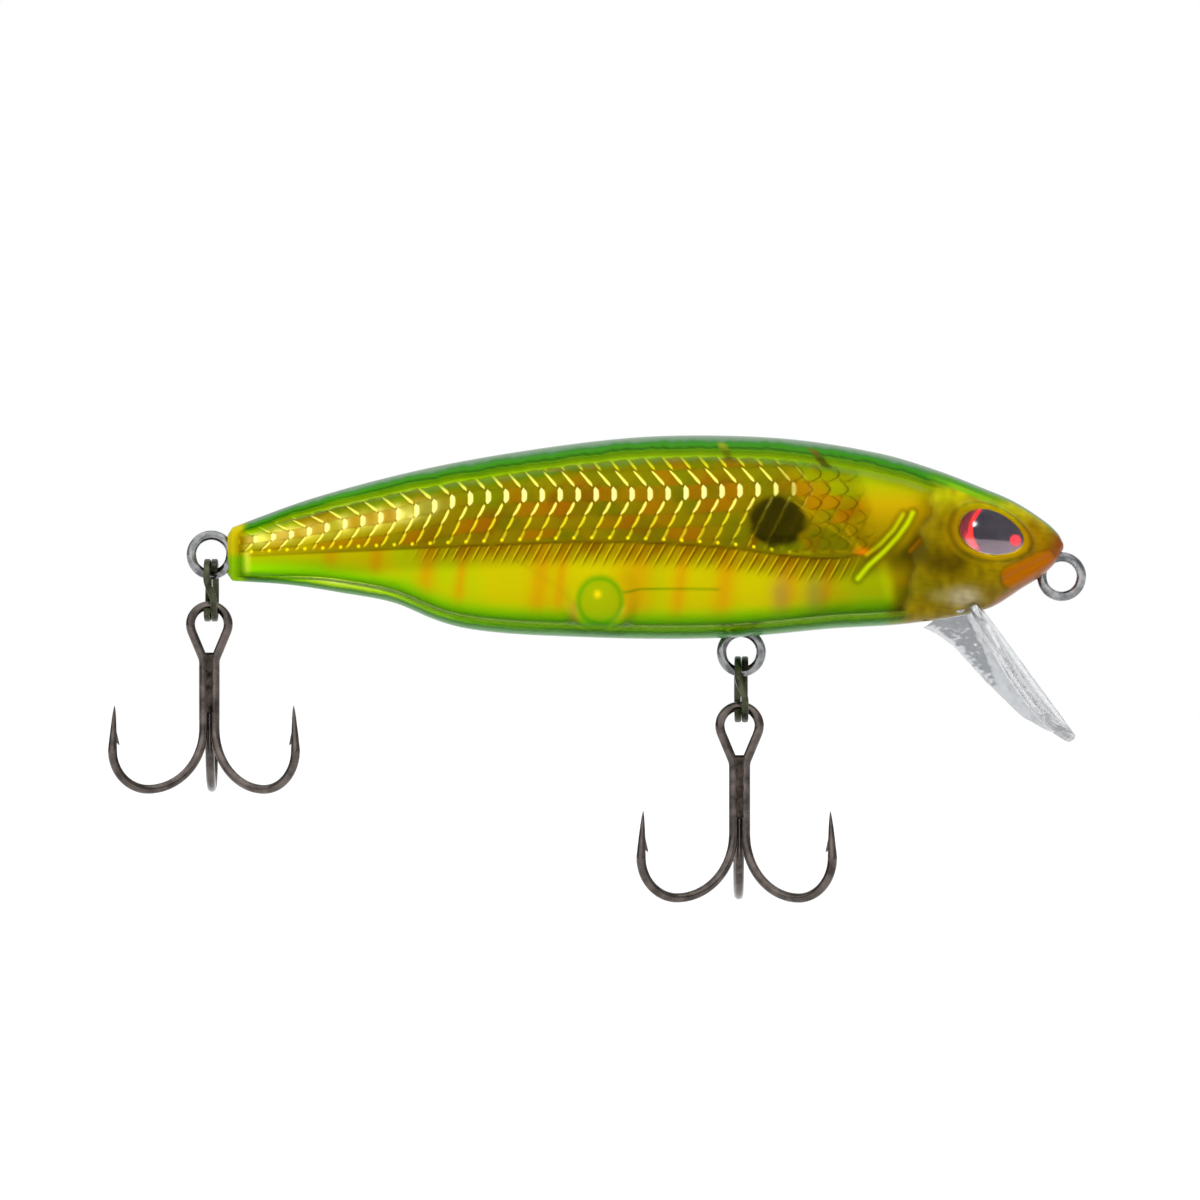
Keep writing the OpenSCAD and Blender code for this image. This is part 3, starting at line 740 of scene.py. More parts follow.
@dataclass(frozen=True)
class EyeForm:
    """An egg-shaped eye: its middle, half axes and tilt, and the seat that follows the cheek."""

    x: float = -7.0
    z: float = 3.69
    middle: tuple[float, float] = (0.97, -0.08)
    half_axes: tuple[float, float] = (2.83, 1.86)
    tilt_deg: float = -14.0
    fuller: float = 0.15
    floor_y: float = 4.0 - 0.75
    turn_deg: float = 13.0
    lean_deg: float = 12.0
    disc: float = 0.2
    dome: float = 0.85

    def distance(self, u: Array, w: Array) -> Array:
        """Roughly the distance to the outline in the seat's own plane, negative inside.

        With p along the tilted long axis and q across it, the outline is an egg:
        (p / a)^2 + (q / (b (1 - k p / a)))^2 = 1, fuller towards the gills.

        Args:
            u: along the seat from its middle, towards the nose.
            w: up the seat.

        Returns:
            The distance in mm.
        """
        t = math.radians(self.tilt_deg)
        du, dw = u - self.middle[0], w - self.middle[1]
        p = du * math.cos(t) + dw * math.sin(t)
        q = -du * math.sin(t) + dw * math.cos(t)
        a, b = self.half_axes
        reach = np.sqrt((p / a) ** 2 + (q / (b * np.clip(1 - self.fuller * p / a, 0.4, 1.6))) ** 2)
        return (reach - 1) * (b + (a - b) * 0.35)

    def place(self, u: Array, w: Array, rise: Array) -> Array:
        """Takes seat coordinates to the left cheek: a turn about Z, then a lean about X.

        Args:
            u: along the seat.
            w: up the seat.
            rise: out from its floor.

        Returns:
            Points in the lure's frame.
        """
        turn, lean = math.radians(-self.turn_deg), math.radians(self.lean_deg)
        x1, y1 = u * math.cos(turn) - rise * math.sin(turn), u * math.sin(turn) + rise * math.cos(turn)
        y2, z2 = y1 * math.cos(lean) - w * math.sin(lean), y1 * math.sin(lean) + w * math.cos(lean)
        return np.stack([self.x + x1, self.floor_y + y2, self.z + z2], -1)

    def flat(self, x: Array, z: Array) -> tuple[Array, Array, Array]:
        """Finds the seat's floor under side-view points, by undoing the turn and the lean.

        Args:
            x: place along the fish.
            z: height.

        Returns:
            Along the seat, up the seat, and the floor's Y.
        """
        turn, lean = math.radians(-self.turn_deg), math.radians(self.lean_deg)
        dx, dz = x - self.x, z - self.z
        u = dx / math.cos(turn)
        y1 = u * math.sin(turn)
        w = (dz - y1 * math.sin(lean)) / math.cos(lean)
        return u, w, self.floor_y + y1 * math.cos(lean) - w * math.sin(lean)


FISH = FishForm()
EYE = EyeForm()

LATERAL = ((-69.9, 1.7), (-53.8, 2.45), (-38.7, 2.95), (-28.6, 2.5), (-22.3, 1.7), (-18.7, 1.6), (-17, 1.9),
           (-12, 2.2), (0.2, 2.5))
RATTLE_AT = (-38.7, -1.74)
RIDGE = ((-69.9, 2.9), (-64.1, 3.6), (-60.9, 4.25), (-55, 5.3), (-49.8, 6.5), (-43.6, 6.8), (-34, 6.9),
         (-22, 7.3), (-12, 7.0), (0.2, 5.0))


def near_line(x: Array, z: Array, points: Sequence[Sequence[float]]) -> Array:
    """Distance in the side view to a chain of straight pieces: the least over the pieces.

    Args:
        x: place along the fish.
        z: height.
        points: the chain's corners.

    Returns:
        The distance from each point.
    """
    best = np.full(x.shape, 1e9)
    for (x0, z0), (x1, z1) in zip(points[:-1], points[1:]):
        dx, dz = x1 - x0, z1 - z0
        t = np.clip(((x - x0) * dx + (z - z0) * dz) / (dx * dx + dz * dz), 0, 1)
        best = np.minimum(best, np.hypot(x - x0 - t * dx, z - z0 - t * dz))
    return best


def drawn(x: Array, z: Array, points: Sequence[Sequence[float]], width: float) -> Array:
    """A soft line along a chain: exp(-(distance / width)^2)."""
    return np.exp(-(near_line(x, z, points) / width) ** 2)


def dab(x: Array, z: Array, at: tuple[float, float], half: tuple[float, float]) -> Array:
    """A soft oval: exp(-r^2), r measured in its half width and half height."""
    return np.exp(-(np.hypot((x - at[0]) / half[0], (z - at[1]) / half[1])) ** 2)


def mix(a: Array, b: Array, share: Array) -> Array:
    """Blends colours a and b, (n, 3), by share from 0 to 1, (n,)."""
    return a + (b - a) * share[..., None]


# ---------------------------------------------------------------- body


def blend(a: Array, b: Array, share: Array) -> Array:
    """Mixes two colours by the geometric mean, so that a tint and what it covers can trade places."""
    t = share[..., None]
    return np.exp((1 - t) * np.log(np.clip(a, 1e-3, None)) + t * np.log(np.clip(b, 1e-3, None)))


def under_face(x: Array, z: Array) -> Array:
    """1 where the sprayed face colours the lure, 0 behind the cheek, along a line that leans back."""
    edge = -11.9 + 0.28 * (z - 3.0) + 0.35 * blotches(x, z, 2.2, 63)
    return smooth(-1.6, 1.6, x - edge)


def rattle_pocket(x: Array, z: Array) -> Array:
    """Depth of the shallow dish inside the wall that the rattle ball rolls into, in mm."""
    return 0.52 * smooth(3.6, 2.1, np.hypot(x - RATTLE_AT[0], z - RATTLE_AT[1]))


@dataclass
class ClearShell:
    """One half of the clear body: an outer skin, an inner skin one wall inside, and a flat seam."""

    side: Side
    form: FishForm = FISH
    eye: EyeForm = EYE
    stations: int = 330
    turns: int = 110
    end_round: float = 0.5
    seam_gap: float = 0.006
    cavity: tuple[float, float] = (-69.6, -2.6)
    # back_bands: the greens are sprayed; the dark green line about 0.9 mm in is a painted dark line and the
    # grey-green lines at the outline a painted reflection, both standing in for the wall seen edge-on
    back_bands: tuple = (
        (2.4, 1.6, "#C8E400", 0.15), (1.36, 1.16, "#84CC00", 0.5), (0.98, 0.90, "#1C5404", 0.8),
        (0.80, 0.70, "#348A08", 0.86), (0.42, 0.30, "#3A7C34", 0.8), (0.2, 0.1, "#7A967A", 0.8))
    # belly_bands: the greens are sprayed; the dark line about 0.3 mm in is a painted dark line and the grey-green
    # line at the outline a painted reflection, both standing in for the wall seen edge-on
    belly_bands: tuple = (
        (1.3, 0.8, "#B4EC00", 0.2), (0.60, 0.46, "#68B80C", 0.7), (0.34, 0.26, "#16480E", 0.85),
        (0.2, 0.12, "#5E8E58", 0.8))

    def outer(self) -> Array:
        """Outer skin with a rounded tail edge, a rounded nose, the eye's seat and its raised rim."""
        u = np.linspace(0, 1, self.stations)
        x = self.form.tail + (self.form.nose - self.form.tail) * (1 - (1 - u) ** 1.75)
        turn = np.linspace(0, np.pi, self.turns)
        xx, tt = np.meshgrid(x, turn, indexing="ij")
        tail_in = self.form.tail + self.end_round - xx
        inset = np.where(tail_in > 0, self.end_round - np.sqrt(
            np.clip(self.end_round ** 2 - np.clip(tail_in, 0, self.end_round) ** 2, 0, None)), 0.0)
        p = self.form.skin(xx, tt, inset)
        return self.relief(p)

    def relief(self, p: Array) -> Array:
        """Presses the eye's seat in and raises a soft rim round it and along the mouth.

        Each ridge and groove is height * exp(-((distance - place) / width)^2), added to Y.

        Args:
            p: (n, m, 3) points of the left skin, changed in place.

        Returns:
            The same array.
        """
        u, w, floor = self.eye.flat(p[..., 0], p[..., 2])
        d = self.eye.distance(u, w)
        seat = smooth(0.06, -0.08, d)
        rim = 0.20 * np.exp(-((d - 0.5) / 0.28) ** 2) - 0.10 * np.exp(-((d - 1.05) / 0.22) ** 2)
        side_on = smooth(0.8, 2.2, p[..., 1])
        mouth = near_line(p[..., 0], p[..., 2], ((-5.0, -0.35), (-2.6, 0.95), (-0.3, 1.95)))
        lips = 0.07 * np.exp(-((mouth - 0.55) / 0.3) ** 2) - 0.16 * np.exp(-(mouth / 0.22) ** 2)
        p[..., 1] += (rim * (1 - seat) + lips) * side_on
        p[..., 1] = p[..., 1] * (1 - seat) + (floor - 0.03) * seat
        return p

    def banded(self, colour: Array, clear: Array, deep: Array, bands: tuple,
               here: Array) -> tuple[Array, Array]:
        """Lays bands one over another: sprayed tints, and the painted dark lines and painted reflection where the
        wall is seen edge-on.

        Args:
            colour: the tint so far.
            clear: how clear the plastic is so far, 0 to 1.
            deep: distance in from the outline.
            bands: for each, where it starts and is full, its colour, and how far it hides the plastic.
            here: 1 where the bands are, 0 where they aren't.

        Returns:
            The new tint and clearness.
        """
        for low, high, code, share in bands:
            colour = mix(colour, tone(code), smooth(low + 0.5 * share, high + 0.1, deep) * here)
            clear = clear + (1 - share - clear) * smooth(low, high, deep) * here
        return colour, clear

    def tint(self, p: Array) -> Array:
        """Candy tint and clearness: bands that follow the back and the belly, the face, the tail's end.

        Args:
            p: (n, 3) points of the left half.

        Returns:
            (n, 4): linear colour, and clearness from 0 to 1.
        """
        x, z = p[:, 0], p[:, 2]
        scale = 0.62 + 0.38 * smooth(-68, -45, x)
        over = (spline(x, self.form.back) - z) / scale
        under = (z - spline(x, self.form.belly)) / scale
        wobble = 0.07 * blotches(x, z, 3.2, 51) + 0.05 * blotches(x, z, 0.9, 52)
        colour = np.tile(tone("#FFFDC4"), (len(p), 1))
        clear = np.full(len(p), 1.0)
        colour, clear = self.banded(colour, clear, over + wobble, self.back_bands, np.ones(len(p)))
        colour, clear = self.banded(colour, clear, under + 0.5 * wobble, self.belly_bands,
                                    smooth(-5.0, -10.0, x))
        for post_x, lean, half, code in ((-28.9, 0.5, 0.42, "#98A010"), (-21.6, 0.9, 0.5, "#6E6010")):
            post = smooth(half, half * 0.6, np.abs(x - post_x - lean * over)) * smooth(0.5, 0.8, over)
            post = post * smooth(2.4, 1.9, over) * smooth(-34, -30, x)
            colour = mix(colour, tone(code), post * 0.8)
        colour = blend(colour, mix(np.tile(tone("#8EC008"), (len(p), 1)), tone("#C8B808"), smooth(1.4, 2.2, z)),
                       smooth(-68.1, -68.8, x))
        clear = clear + (0.12 - clear) * smooth(-68.9, -69.35, x)
        face, share = self.head_tint(x, z, over)
        colour = blend(colour, face, share)
        clear = clear + (0.14 - clear) * smooth(0.35, 1.0, share)
        return np.concatenate([colour, np.clip(clear, 0, 1)[:, None]], 1)

    def head_tint(self, x: Array, z: Array, over: Array) -> tuple[Array, Array]:
        """The sprayed face, fading out behind the cheek.

        Args:
            x: place along the fish.
            z: height.
            over: depth under the back's outline.

        Returns:
            Its linear colour, and how far it hides the plastic, 0 to 1.
        """
        share = under_face(x, z) * smooth(0.12, 0.35, over)
        face = np.tile(tone("#867002"), (len(x), 1))
        face = mix(face, tone("#B4AE04"), smooth(4.6, 6.6, z + 0.25 * (x + 9)))
        # the two darkest spots, under the eye and behind it near the gill groove, are painted shade in the hollows
        # there
        for cx, cz, rx, rz, code, strength in (
            (-9.6, 1.1, 1.9, 1.1, "#4A3A00", 0.9), (-12.0, 1.9, 1.3, 1.2, "#3E3200", 0.9),
            (-5.8, 1.0, 1.6, 0.55, "#A48804", 0.85), (-2.6, 3.4, 1.5, 1.7, "#9C7004", 0.95),
            (-5.2, 6.6, 2.2, 0.6, "#947E06", 0.7), (-9.2, 3.9, 0.55, 1.9, "#8E6A04", 0.8),
            (-12.0, -0.9, 2.2, 0.9, "#716806", 0.8), (-8.3, -1.7, 1.5, 0.8, "#B4A884", 0.85),
            (-5.6, -1.2, 1.3, 0.8, "#8A6E16", 0.8), (-10.4, -1.6, 0.9, 0.5, "#8E8648", 0.6),
        ):
            spot = np.exp(-((((x - cx) / rx) ** 2 + ((z - cz) / rz) ** 2) ** 1.3))
            face = mix(face, tone(code), spot * strength)
        face = face * (1 + 0.16 * blotches(x, z, 1.3, 61) + 0.10 * blotches(x, z, 0.6, 62))[:, None]
        u, w, _ = self.eye.flat(x, z)
        d = self.eye.distance(u, w)
        face = mix(face, tone("#B08804"), np.exp(-((d - 0.22) / 0.16) ** 2) * 0.8)
        face = mix(face, tone("#4E3C02"), np.exp(-((d - 0.62) / 0.12) ** 2) * 0.45)
        face = mix(face, tone("#A08406"), np.exp(-((d - 0.95) / 0.16) ** 2) * 0.35)
        face = mix(face, tone("#8E4A12"), smooth(-2.0, -0.4, x + 0.30 * (2.2 - z)))
        mouth = near_line(x, z, ((-4.3, -0.05), (-1.5, 1.25))) + 0.08 * blotches(x, z, 0.9, 66)
        face = mix(face, tone("#B86404"), smooth(1.15, 0.6, mouth) * 0.9)
        face = mix(face, tone("#7A4002"), np.exp(-((mouth - 1.0) / 0.10) ** 2) * 0.45)
        chin = smooth(0.9, 0.2, z - spline(x, self.form.belly)) * smooth(-7.0, -5.0, x)
        face = mix(face, tone("#A4705C"), chin * 0.75)
        crest = smooth(-3.5, -7.5, x)
        face = mix(face, tone("#74B80C"), smooth(1.25, 1.0, over) * crest * 0.85)
        face = mix(face, tone("#3C8A10"), smooth(0.75, 0.6, over) * crest * 0.85)
        # the grey-green outermost line is a painted reflection of the wall seen edge-on, as along the back
        face = mix(face, tone("#6E9468"), smooth(0.35, 0.2, over) * crest * 0.8)
        return np.clip(face, 0, 1), share

    def build(self) -> bpy.types.Object:
        """Closed half shell: outer grid, inner grid, seam strips and end caps."""
        outer = self.outer()
        n, m = outer.shape[:2]
        u = np.linspace(0, 1, n)
        a, b = self.cavity
        xi = a + (b - a) * (1 - (1 - u) ** 1.6)
        xx, tt = np.meshgrid(xi, np.linspace(0, np.pi, m), indexing="ij")
        inner = self.form.skin(xx, tt, self.form.wall_at(xx))
        inner = self.form.skin(xx, tt, self.form.wall_at(xx) - rattle_pocket(inner[..., 0], inner[..., 2]))
        outer[..., 1] += self.seam_gap
        inner[..., 1] += self.seam_gap
        points = np.concatenate([outer.reshape(-1, 3), inner.reshape(-1, 3)])
        count = n * m
        faces = [grid_faces(n, m), grid_faces(n, m, start=count, flip=True)]
        i = np.arange(n - 1)
        for col, flip in ((0, True), (m - 1, False)):
            near, far = i * m + col, (i + 1) * m + col
            strip = np.stack([near, far, far + count, near + count], 1)
            faces.append(strip[:, ::-1] if flip else strip)
        lists = np.concatenate(faces).tolist()
        last, inner_last = (n - 1) * m, count + (n - 1) * m
        lists += [list(range(m))[::-1], [last + j for j in range(m)]]
        lists += [[count + j for j in range(m)], [inner_last + j for j in range(m)][::-1]]
        lists += [[0, m - 1, count + m - 1, count], [last + m - 1, last, inner_last, inner_last + m - 1]]
        colours = self.tint(points)
        points[:, 1] *= self.side.value
        obj = mesh_object(f"{self.side.name.lower()}_clear_shell", points, lists, 35)
        paint(obj, "tint", colours)
        return put(obj, ClearShellFinish(), "lure_body", "tinted_clear_shell",
                   f"{self.side.name.lower()}_shell")


@dataclass
class ScaleFilm:
    """The pressed film behind one wall: staggered scales above the lateral line, ribs below it."""

    side: Side
    form: FishForm = FISH
    eye: EyeForm = EYE
    stations: int = 420
    turns: int = 108
    x_range: tuple[float, float] = (-69.52, -3.0)
    turn_range: tuple[float, float] = (27.0, 173.0)
    gap: float = 0.05
    thickness: float = 0.12
    row: float = 1.32
    depth: float = 0.42

    def from_spot(self, x: Array, z: Array) -> Array:
        """Distance from the black spot's middle, 1 at its edge."""
        return np.hypot((x + 23.9) / 2.7, (z - 4.6) / 2.3)

    def scales_from(self, x: Array, z: Array) -> Array:
        """1 over the body's scales, fading out where the gill cover begins."""
        return smooth(-14.8, -16.6, x + 0.30 * (z - 3))

    def marks(self, x: Array, z: Array) -> Array:
        """What the finish needs to draw the scales.

        Args:
            x: place along the fish.
            z: height.

        Returns:
            A last axis of 4: rows above the ridge, strength of the scales, strength of the ribs, and
            depth below the lateral line.
        """
        line = spline(x, LATERAL)
        above = z - spline(x, RIDGE)
        rows = above / (self.row * np.where(above < 0, 0.87, 1.0) * (0.55 + 0.45 * smooth(-69, -50, x)))
        scales = self.scales_from(x, z) * smooth(0.12, 0.40, z - line)
        scales = scales * (1 - 0.86 * smooth(1.15, 0.8, self.from_spot(x, z)))
        drop = line - z
        length = 1.5 + 0.9 * smooth(-52, -42, x)
        ribs = smooth(0.1, 0.3, drop) * smooth(length, length * 0.5, drop) * smooth(-56, -51, x)
        ribs = ribs * smooth(-16.5, -18.5, x)
        return np.stack([rows, scales, ribs, drop], -1)

    def surface(self, x: Array, z: Array) -> Array:
        """The film's lacquer: gold ground, lime under the lateral line, spot, chamber, cheek and face, with a
        painted glint and a painted reflection line on the rattle ball, painted fill light low on the flank, and
        the painted light that accents adds.

        Args:
            x: place along the fish.
            z: height.

        Returns:
            Linear colour at each point.
        """
        top, low = spline(x, self.form.back), spline(x, self.form.belly)
        line, ridge = spline(x, LATERAL), spline(x, RIDGE)
        body = self.scales_from(x, z)
        above = smooth(-0.06, 0.06, z - line)
        # gold ground with olive, rust and green patches
        colour = np.tile(tone("#DCB400"), x.shape + (1,))
        colour = mix(colour, tone("#B0A400"), smooth(0.0, 0.7, blotches(x, z * 1.2, 5.0, 3)))
        colour = mix(colour, tone("#C87E00"), smooth(0.15, 0.8, blotches(x, z * 1.3, 6.5, 8)) * 0.8)
        colour = mix(colour, tone("#A4BC00"), smooth(0.35, 0.9, blotches(x, z, 8.0, 12)) * 0.8)
        glow = smooth(-50, -58, x)
        colour = mix(colour, tone("#D8B400"), glow * 0.8)
        colour = mix(colour, tone("#D4CC00"), smooth(2.6, 0.3, top - 2.0 - z) * 0.7 * above)
        depth = top - z + 0.2 * blotches(x, z, 1.5, 9)
        colour = mix(colour, tone("#8CE000"), smooth(2.6, 1.9, depth) * 0.8)
        # below the line: brown band, then translucent lime with amber bars
        below = 1 - above
        lime = np.tile(tone("#E4DC00"), x.shape + (1,))
        lime = mix(lime, tone("#C4E400"), smooth(0.1, 0.8, blotches(x, z * 0.4, 6.0, 21)) * 0.7)
        bars = ((-61.2, 0.55), (-57.3, 0.6), (-52.9, 0.8), (-50.0, 0.5), (-43.3, 0.9), (-41.6, 0.5),
                (-35.2, 1.7), (-31.6, 0.6), (-27.9, 0.9), (-22.8, 1.0), (-19.5, 0.5))
        for bar_x, half in bars:
            lean = 0.12 * (z - line)
            lime = mix(lime, tone("#F0A800"), np.exp(-((x - bar_x - lean) / half) ** 2) * 0.7)
        lime = mix(lime, tone("#98F000"), smooth(3.0, 1.2, z - low) * 0.95)
        brown = smooth(1.9, 0.4, line - z) * smooth(-56, -50, x)
        lime = mix(lime, tone("#A87800"), brown * (0.72 + 0.28 * blotches(x, z, 3.0, 5)))
        colour = mix(colour, lime, below)
        # the lateral line itself
        on_line = np.exp(-((z - line - 0.12) / 0.09) ** 2) * smooth(-16.6, -17.6, x)
        colour = mix(colour, tone("#D8B818"), on_line * 0.7)
        colour = mix(colour, tone("#4A3002"), np.exp(-((z - line + 0.08) / 0.10) ** 2) * 0.75 * body)
        # what is moulded against the wall and shows through, and a painted reflection line on the rattle ball's
        # lower edge
        for chain, width, code, share in (
            (((-49.9, 4.0), (-43.7, 0.1), (-40.7, -2.0)), 0.12, "#C8B018", 0.5),
            (((-29.6, 10.2), (-28.2, 9.2), (-22.3, 5.6)), 0.14, "#D8C020", 0.5),
            (((-36.7, -1.07), (-28.8, -1.07)), 0.09, "#5E9A08", 0.8),
            (((-40.9, -2.3), (-40.9, -5.0)), 0.4, "#D8B458", 0.75),
            # painted reflection line on the rattle ball's lower edge
            (((-37.7, -3.3), (-36.7, -2.3)), 0.14, "#F4E860", 0.9),
        ):
            colour = mix(colour, tone(code), drawn(x, z, chain, width) * share)
        ring = np.hypot(x - RATTLE_AT[0], z - RATTLE_AT[1])
        colour = mix(colour, tone("#58BE0E"), np.exp(-((ring - 1.75) / 0.3) ** 2) * 0.8)
        colour = mix(colour, tone("#9ACC10"), smooth(1.6, 1.3, ring) * 0.6)
        # painted glint on the rattle ball
        colour = mix(colour, tone("#FFE820"), np.exp(-(np.hypot(x + 38.9, z + 1.2) / 0.3) ** 2))
        for slug_x in (-23.6, -20.8):
            patch = np.exp(-(((x - slug_x) / 0.8) ** 2 + ((z + 1.5) / 1.4) ** 2))
            colour = mix(colour, tone("#B09A70"), patch * 0.6)
        # the shad spot, black with the scales just showing
        spot = self.from_spot(x, z)
        veil = smooth(1.10, 0.74, spot + 0.07 * blotches(x, z, 1.2, 40))
        colour = mix(colour, tone("#0C0902"), veil)
        colour = self.head(x, z, colour, body)
        deep = self.depth * (np.array([0.68, 0.74, 0.6]) * above[..., None]
                             + np.array([0.88, 0.86, 0.8]) * (1 - above[..., None]))
        deep = deep * (1 - 0.30 * smooth(-24.5, -18.5, x) * below)[..., None]
        bright = 1 + 0.75 * smooth(-25, -19.5, x) * smooth(3.0, 6.5, z)
        deep = deep * bright[..., None] + (0.85 - deep * bright[..., None]) * (1 - body)[..., None]
        # painted fill light: the film below the lateral line is lightened, more from 1.4 mm under the line down
        # and most near the belly, where it faces away from the lamps
        edges = 0.75 * smooth(2.2, 0.9, z - low) + 0.5 * smooth(1.4, 2.4, line - z)
        painted_fill_light = 1 + (0.35 + edges) * below * body
        colour = colour * deep * painted_fill_light[..., None]
        colour = self.accents(x, z, colour)
        covered = np.maximum(under_face(x, z), smooth(-67.7, -68.4, x))
        return np.clip(blend(colour, tone("#F4F0DC"), covered), 0, 1)

    def accents(self, x: Array, z: Array, out: Array) -> Array:
        """Adds the bright marks, which are painted light: a painted glare and glow along the tail's ridge, painted
        highlights and shade on the gill cover's edges, and a painted glint on the rattle ball in its chamber.

        Args:
            x: place along the fish.
            z: height.
            out: the lacquer so far.

        Returns:
            The lacquer with the marks.
        """
        # a painted glare along the tail's ridge, broken up scale by scale, with a softer painted glow round it
        ridge = spline(x, RIDGE)
        cell = x / SCALE_PITCH - np.floor(x / SCALE_PITCH)
        comb = 0.68 + 0.32 * np.cos(2 * np.pi * (cell - 0.02 + 0.25 * np.abs(z - ridge)))
        comb = np.maximum(comb, smooth(-60.5, -64.5, x) * 0.85)
        height = 0.8 - 0.2 * smooth(-58, -66, x)
        painted_glare = np.exp(-(((z - ridge) / height) ** 2) ** 1.6) * smooth(-50.5, -56, x)
        painted_glare = painted_glare * comb * (0.8 + 0.5 * blotches(x, z, 1.6, 31))
        out = mix(out, tone("#FFFBD0"), np.clip(painted_glare, 0, 1))
        glow = np.exp(-(((z - ridge + 0.2) / 1.5) ** 2)) * smooth(-50, -60, x)
        out = mix(out, tone("#E8D818"), glow * 0.5)
        # the gill cover's edges: a painted highlight along each edge and painted shade lines on both sides of it
        for chain, width, share in (
            (((-12.6, 5.35), (-13.1, 4.4), (-13.9, 3.3), (-15.1, 2.0), (-16.3, 0.9), (-17.2, -0.2)), 0.17, 1.0),
            (((-13.4, 5.2), (-14.2, 3.9), (-15.3, 2.7), (-16.5, 1.8)), 0.11, 0.8),
        ):
            d = near_line(x, z, chain)
            out = mix(out, tone("#2E2802"), np.exp(-((d - 0.33) / 0.2) ** 2) * 0.5 * share)
            out = mix(out, tone("#C4E00C"), np.exp(-(d / width) ** 2) * share)
        rays = (((-22.4, 6.2), (-16.8, 2.1)), ((-20.0, 6.4), (-16.8, 2.1)), ((-23.0, 2.0), (-16.8, 2.1)))
        for ray in rays:
            out = mix(out, tone("#B89C10"), drawn(x, z, ray, 0.10) * 0.5)
        out = mix(out, tone("#E8780C"), dab(x, z, (-16.8, 2.1), (0.6, 0.3)) * 0.9)
        out = mix(out, tone("#D8801C"), drawn(x, z, ((-12.0, 3.0), (-12.8, 2.1)), 0.14))
        # painted glint on the rattle ball, over the one drawn in surface
        return mix(out, tone("#F4E020"), dab(x, z, (-38.9, -1.2), (0.28, 0.28)) * 0.9)

    def head(self, x: Array, z: Array, colour: Array, body: Array) -> Array:
        """Cheek and gill cover: olive gold, with painted shade in the hollows and along the gill groove.

        Args:
            x: place along the fish.
            z: height.
            colour: the body's lacquer.
            body: 1 over the body's scales, 0 on the head.

        Returns:
            The two put together.
        """
        cheek = np.tile(tone("#9C8606"), x.shape + (1,))
        cheek = mix(cheek, tone("#C8A408"), smooth(3.4, 6.5, z))
        cheek = mix(cheek, tone("#A8B40A"), smooth(5.5, 8.5, z))
        # the two darkest dabs, under the eye and on the gill cover, are painted shade in the hollows there
        for at, half, code, share in (
            ((-9.3, 0.9), (1.6, 1.1), "#5E4E02", 0.8), ((-13.6, 1.5), (2.0, 1.1), "#4A4204", 0.85),
            ((-12.5, -1.6), (4.0, 1.3), "#8C9A0C", 0.8), ((-12.7, -0.5), (0.8, 0.25), "#D08A10", 1.0),
            ((-16.8, -1.4), (1.3, 1.1), "#74BC12", 0.8),
        ):
            cheek = mix(cheek, tone(code), dab(x, z, at, half) * share)
        cheek = mix(cheek, tone("#C87C10"), smooth(-5.2, -3.0, x) * 0.9)
        # groove: painted shade along the gill groove
        groove = drawn(x, z, ((-10.5, 5.2), (-11.6, 3.9), (-13.2, 1.9)), 0.42)
        cheek = mix(cheek, tone("#3E3604"), groove * 0.85)
        return mix(cheek, colour, body)

    def build(self) -> bpy.types.Object:
        """Closed sheet: the pressed face, a plain back one thickness inside, and the edges."""
        x = np.linspace(*self.x_range, self.stations)
        turn = np.radians(np.linspace(*self.turn_range, self.turns))
        xx, tt = np.meshgrid(x, turn, indexing="ij")
        inset = self.form.wall_at(xx) + self.gap
        flat = self.form.skin(xx, tt, inset)
        inset = inset - rattle_pocket(flat[..., 0], flat[..., 2])
        colour, marks = self.surface(flat[..., 0], flat[..., 2]), self.marks(flat[..., 0], flat[..., 2])
        u, w, _ = self.eye.flat(flat[..., 0], flat[..., 2])
        tuck = smooth(1.2, 0.2, self.eye.distance(u, w)) * 1.2
        cell = xx / SCALE_PITCH + 0.5 * np.round(marks[..., 0])
        pillow = 0.05 * np.cos(2 * np.pi * (cell - 0.5)) * marks[..., 1]
        face = self.form.skin(xx, tt, inset + 0.10 - pillow + tuck)
        back = self.form.skin(xx, tt, inset + 0.12 + self.thickness + tuck)
        points, faces = thin_sheet(face, back)
        points[:, 1] *= self.side.value
        obj = mesh_object(f"{self.side.name.lower()}_pressed_film", points, faces, 60)
        paint(obj, "lacquer", np.concatenate([colour.reshape(-1, 3)] * 2))
        paint(obj, "marks", np.concatenate([marks.reshape(-1, 4)] * 2))
        return put(obj, ScaleFilmFinish(), "lure_body", "gold_scale_film",
                   f"{self.side.name.lower()}_scale_film")


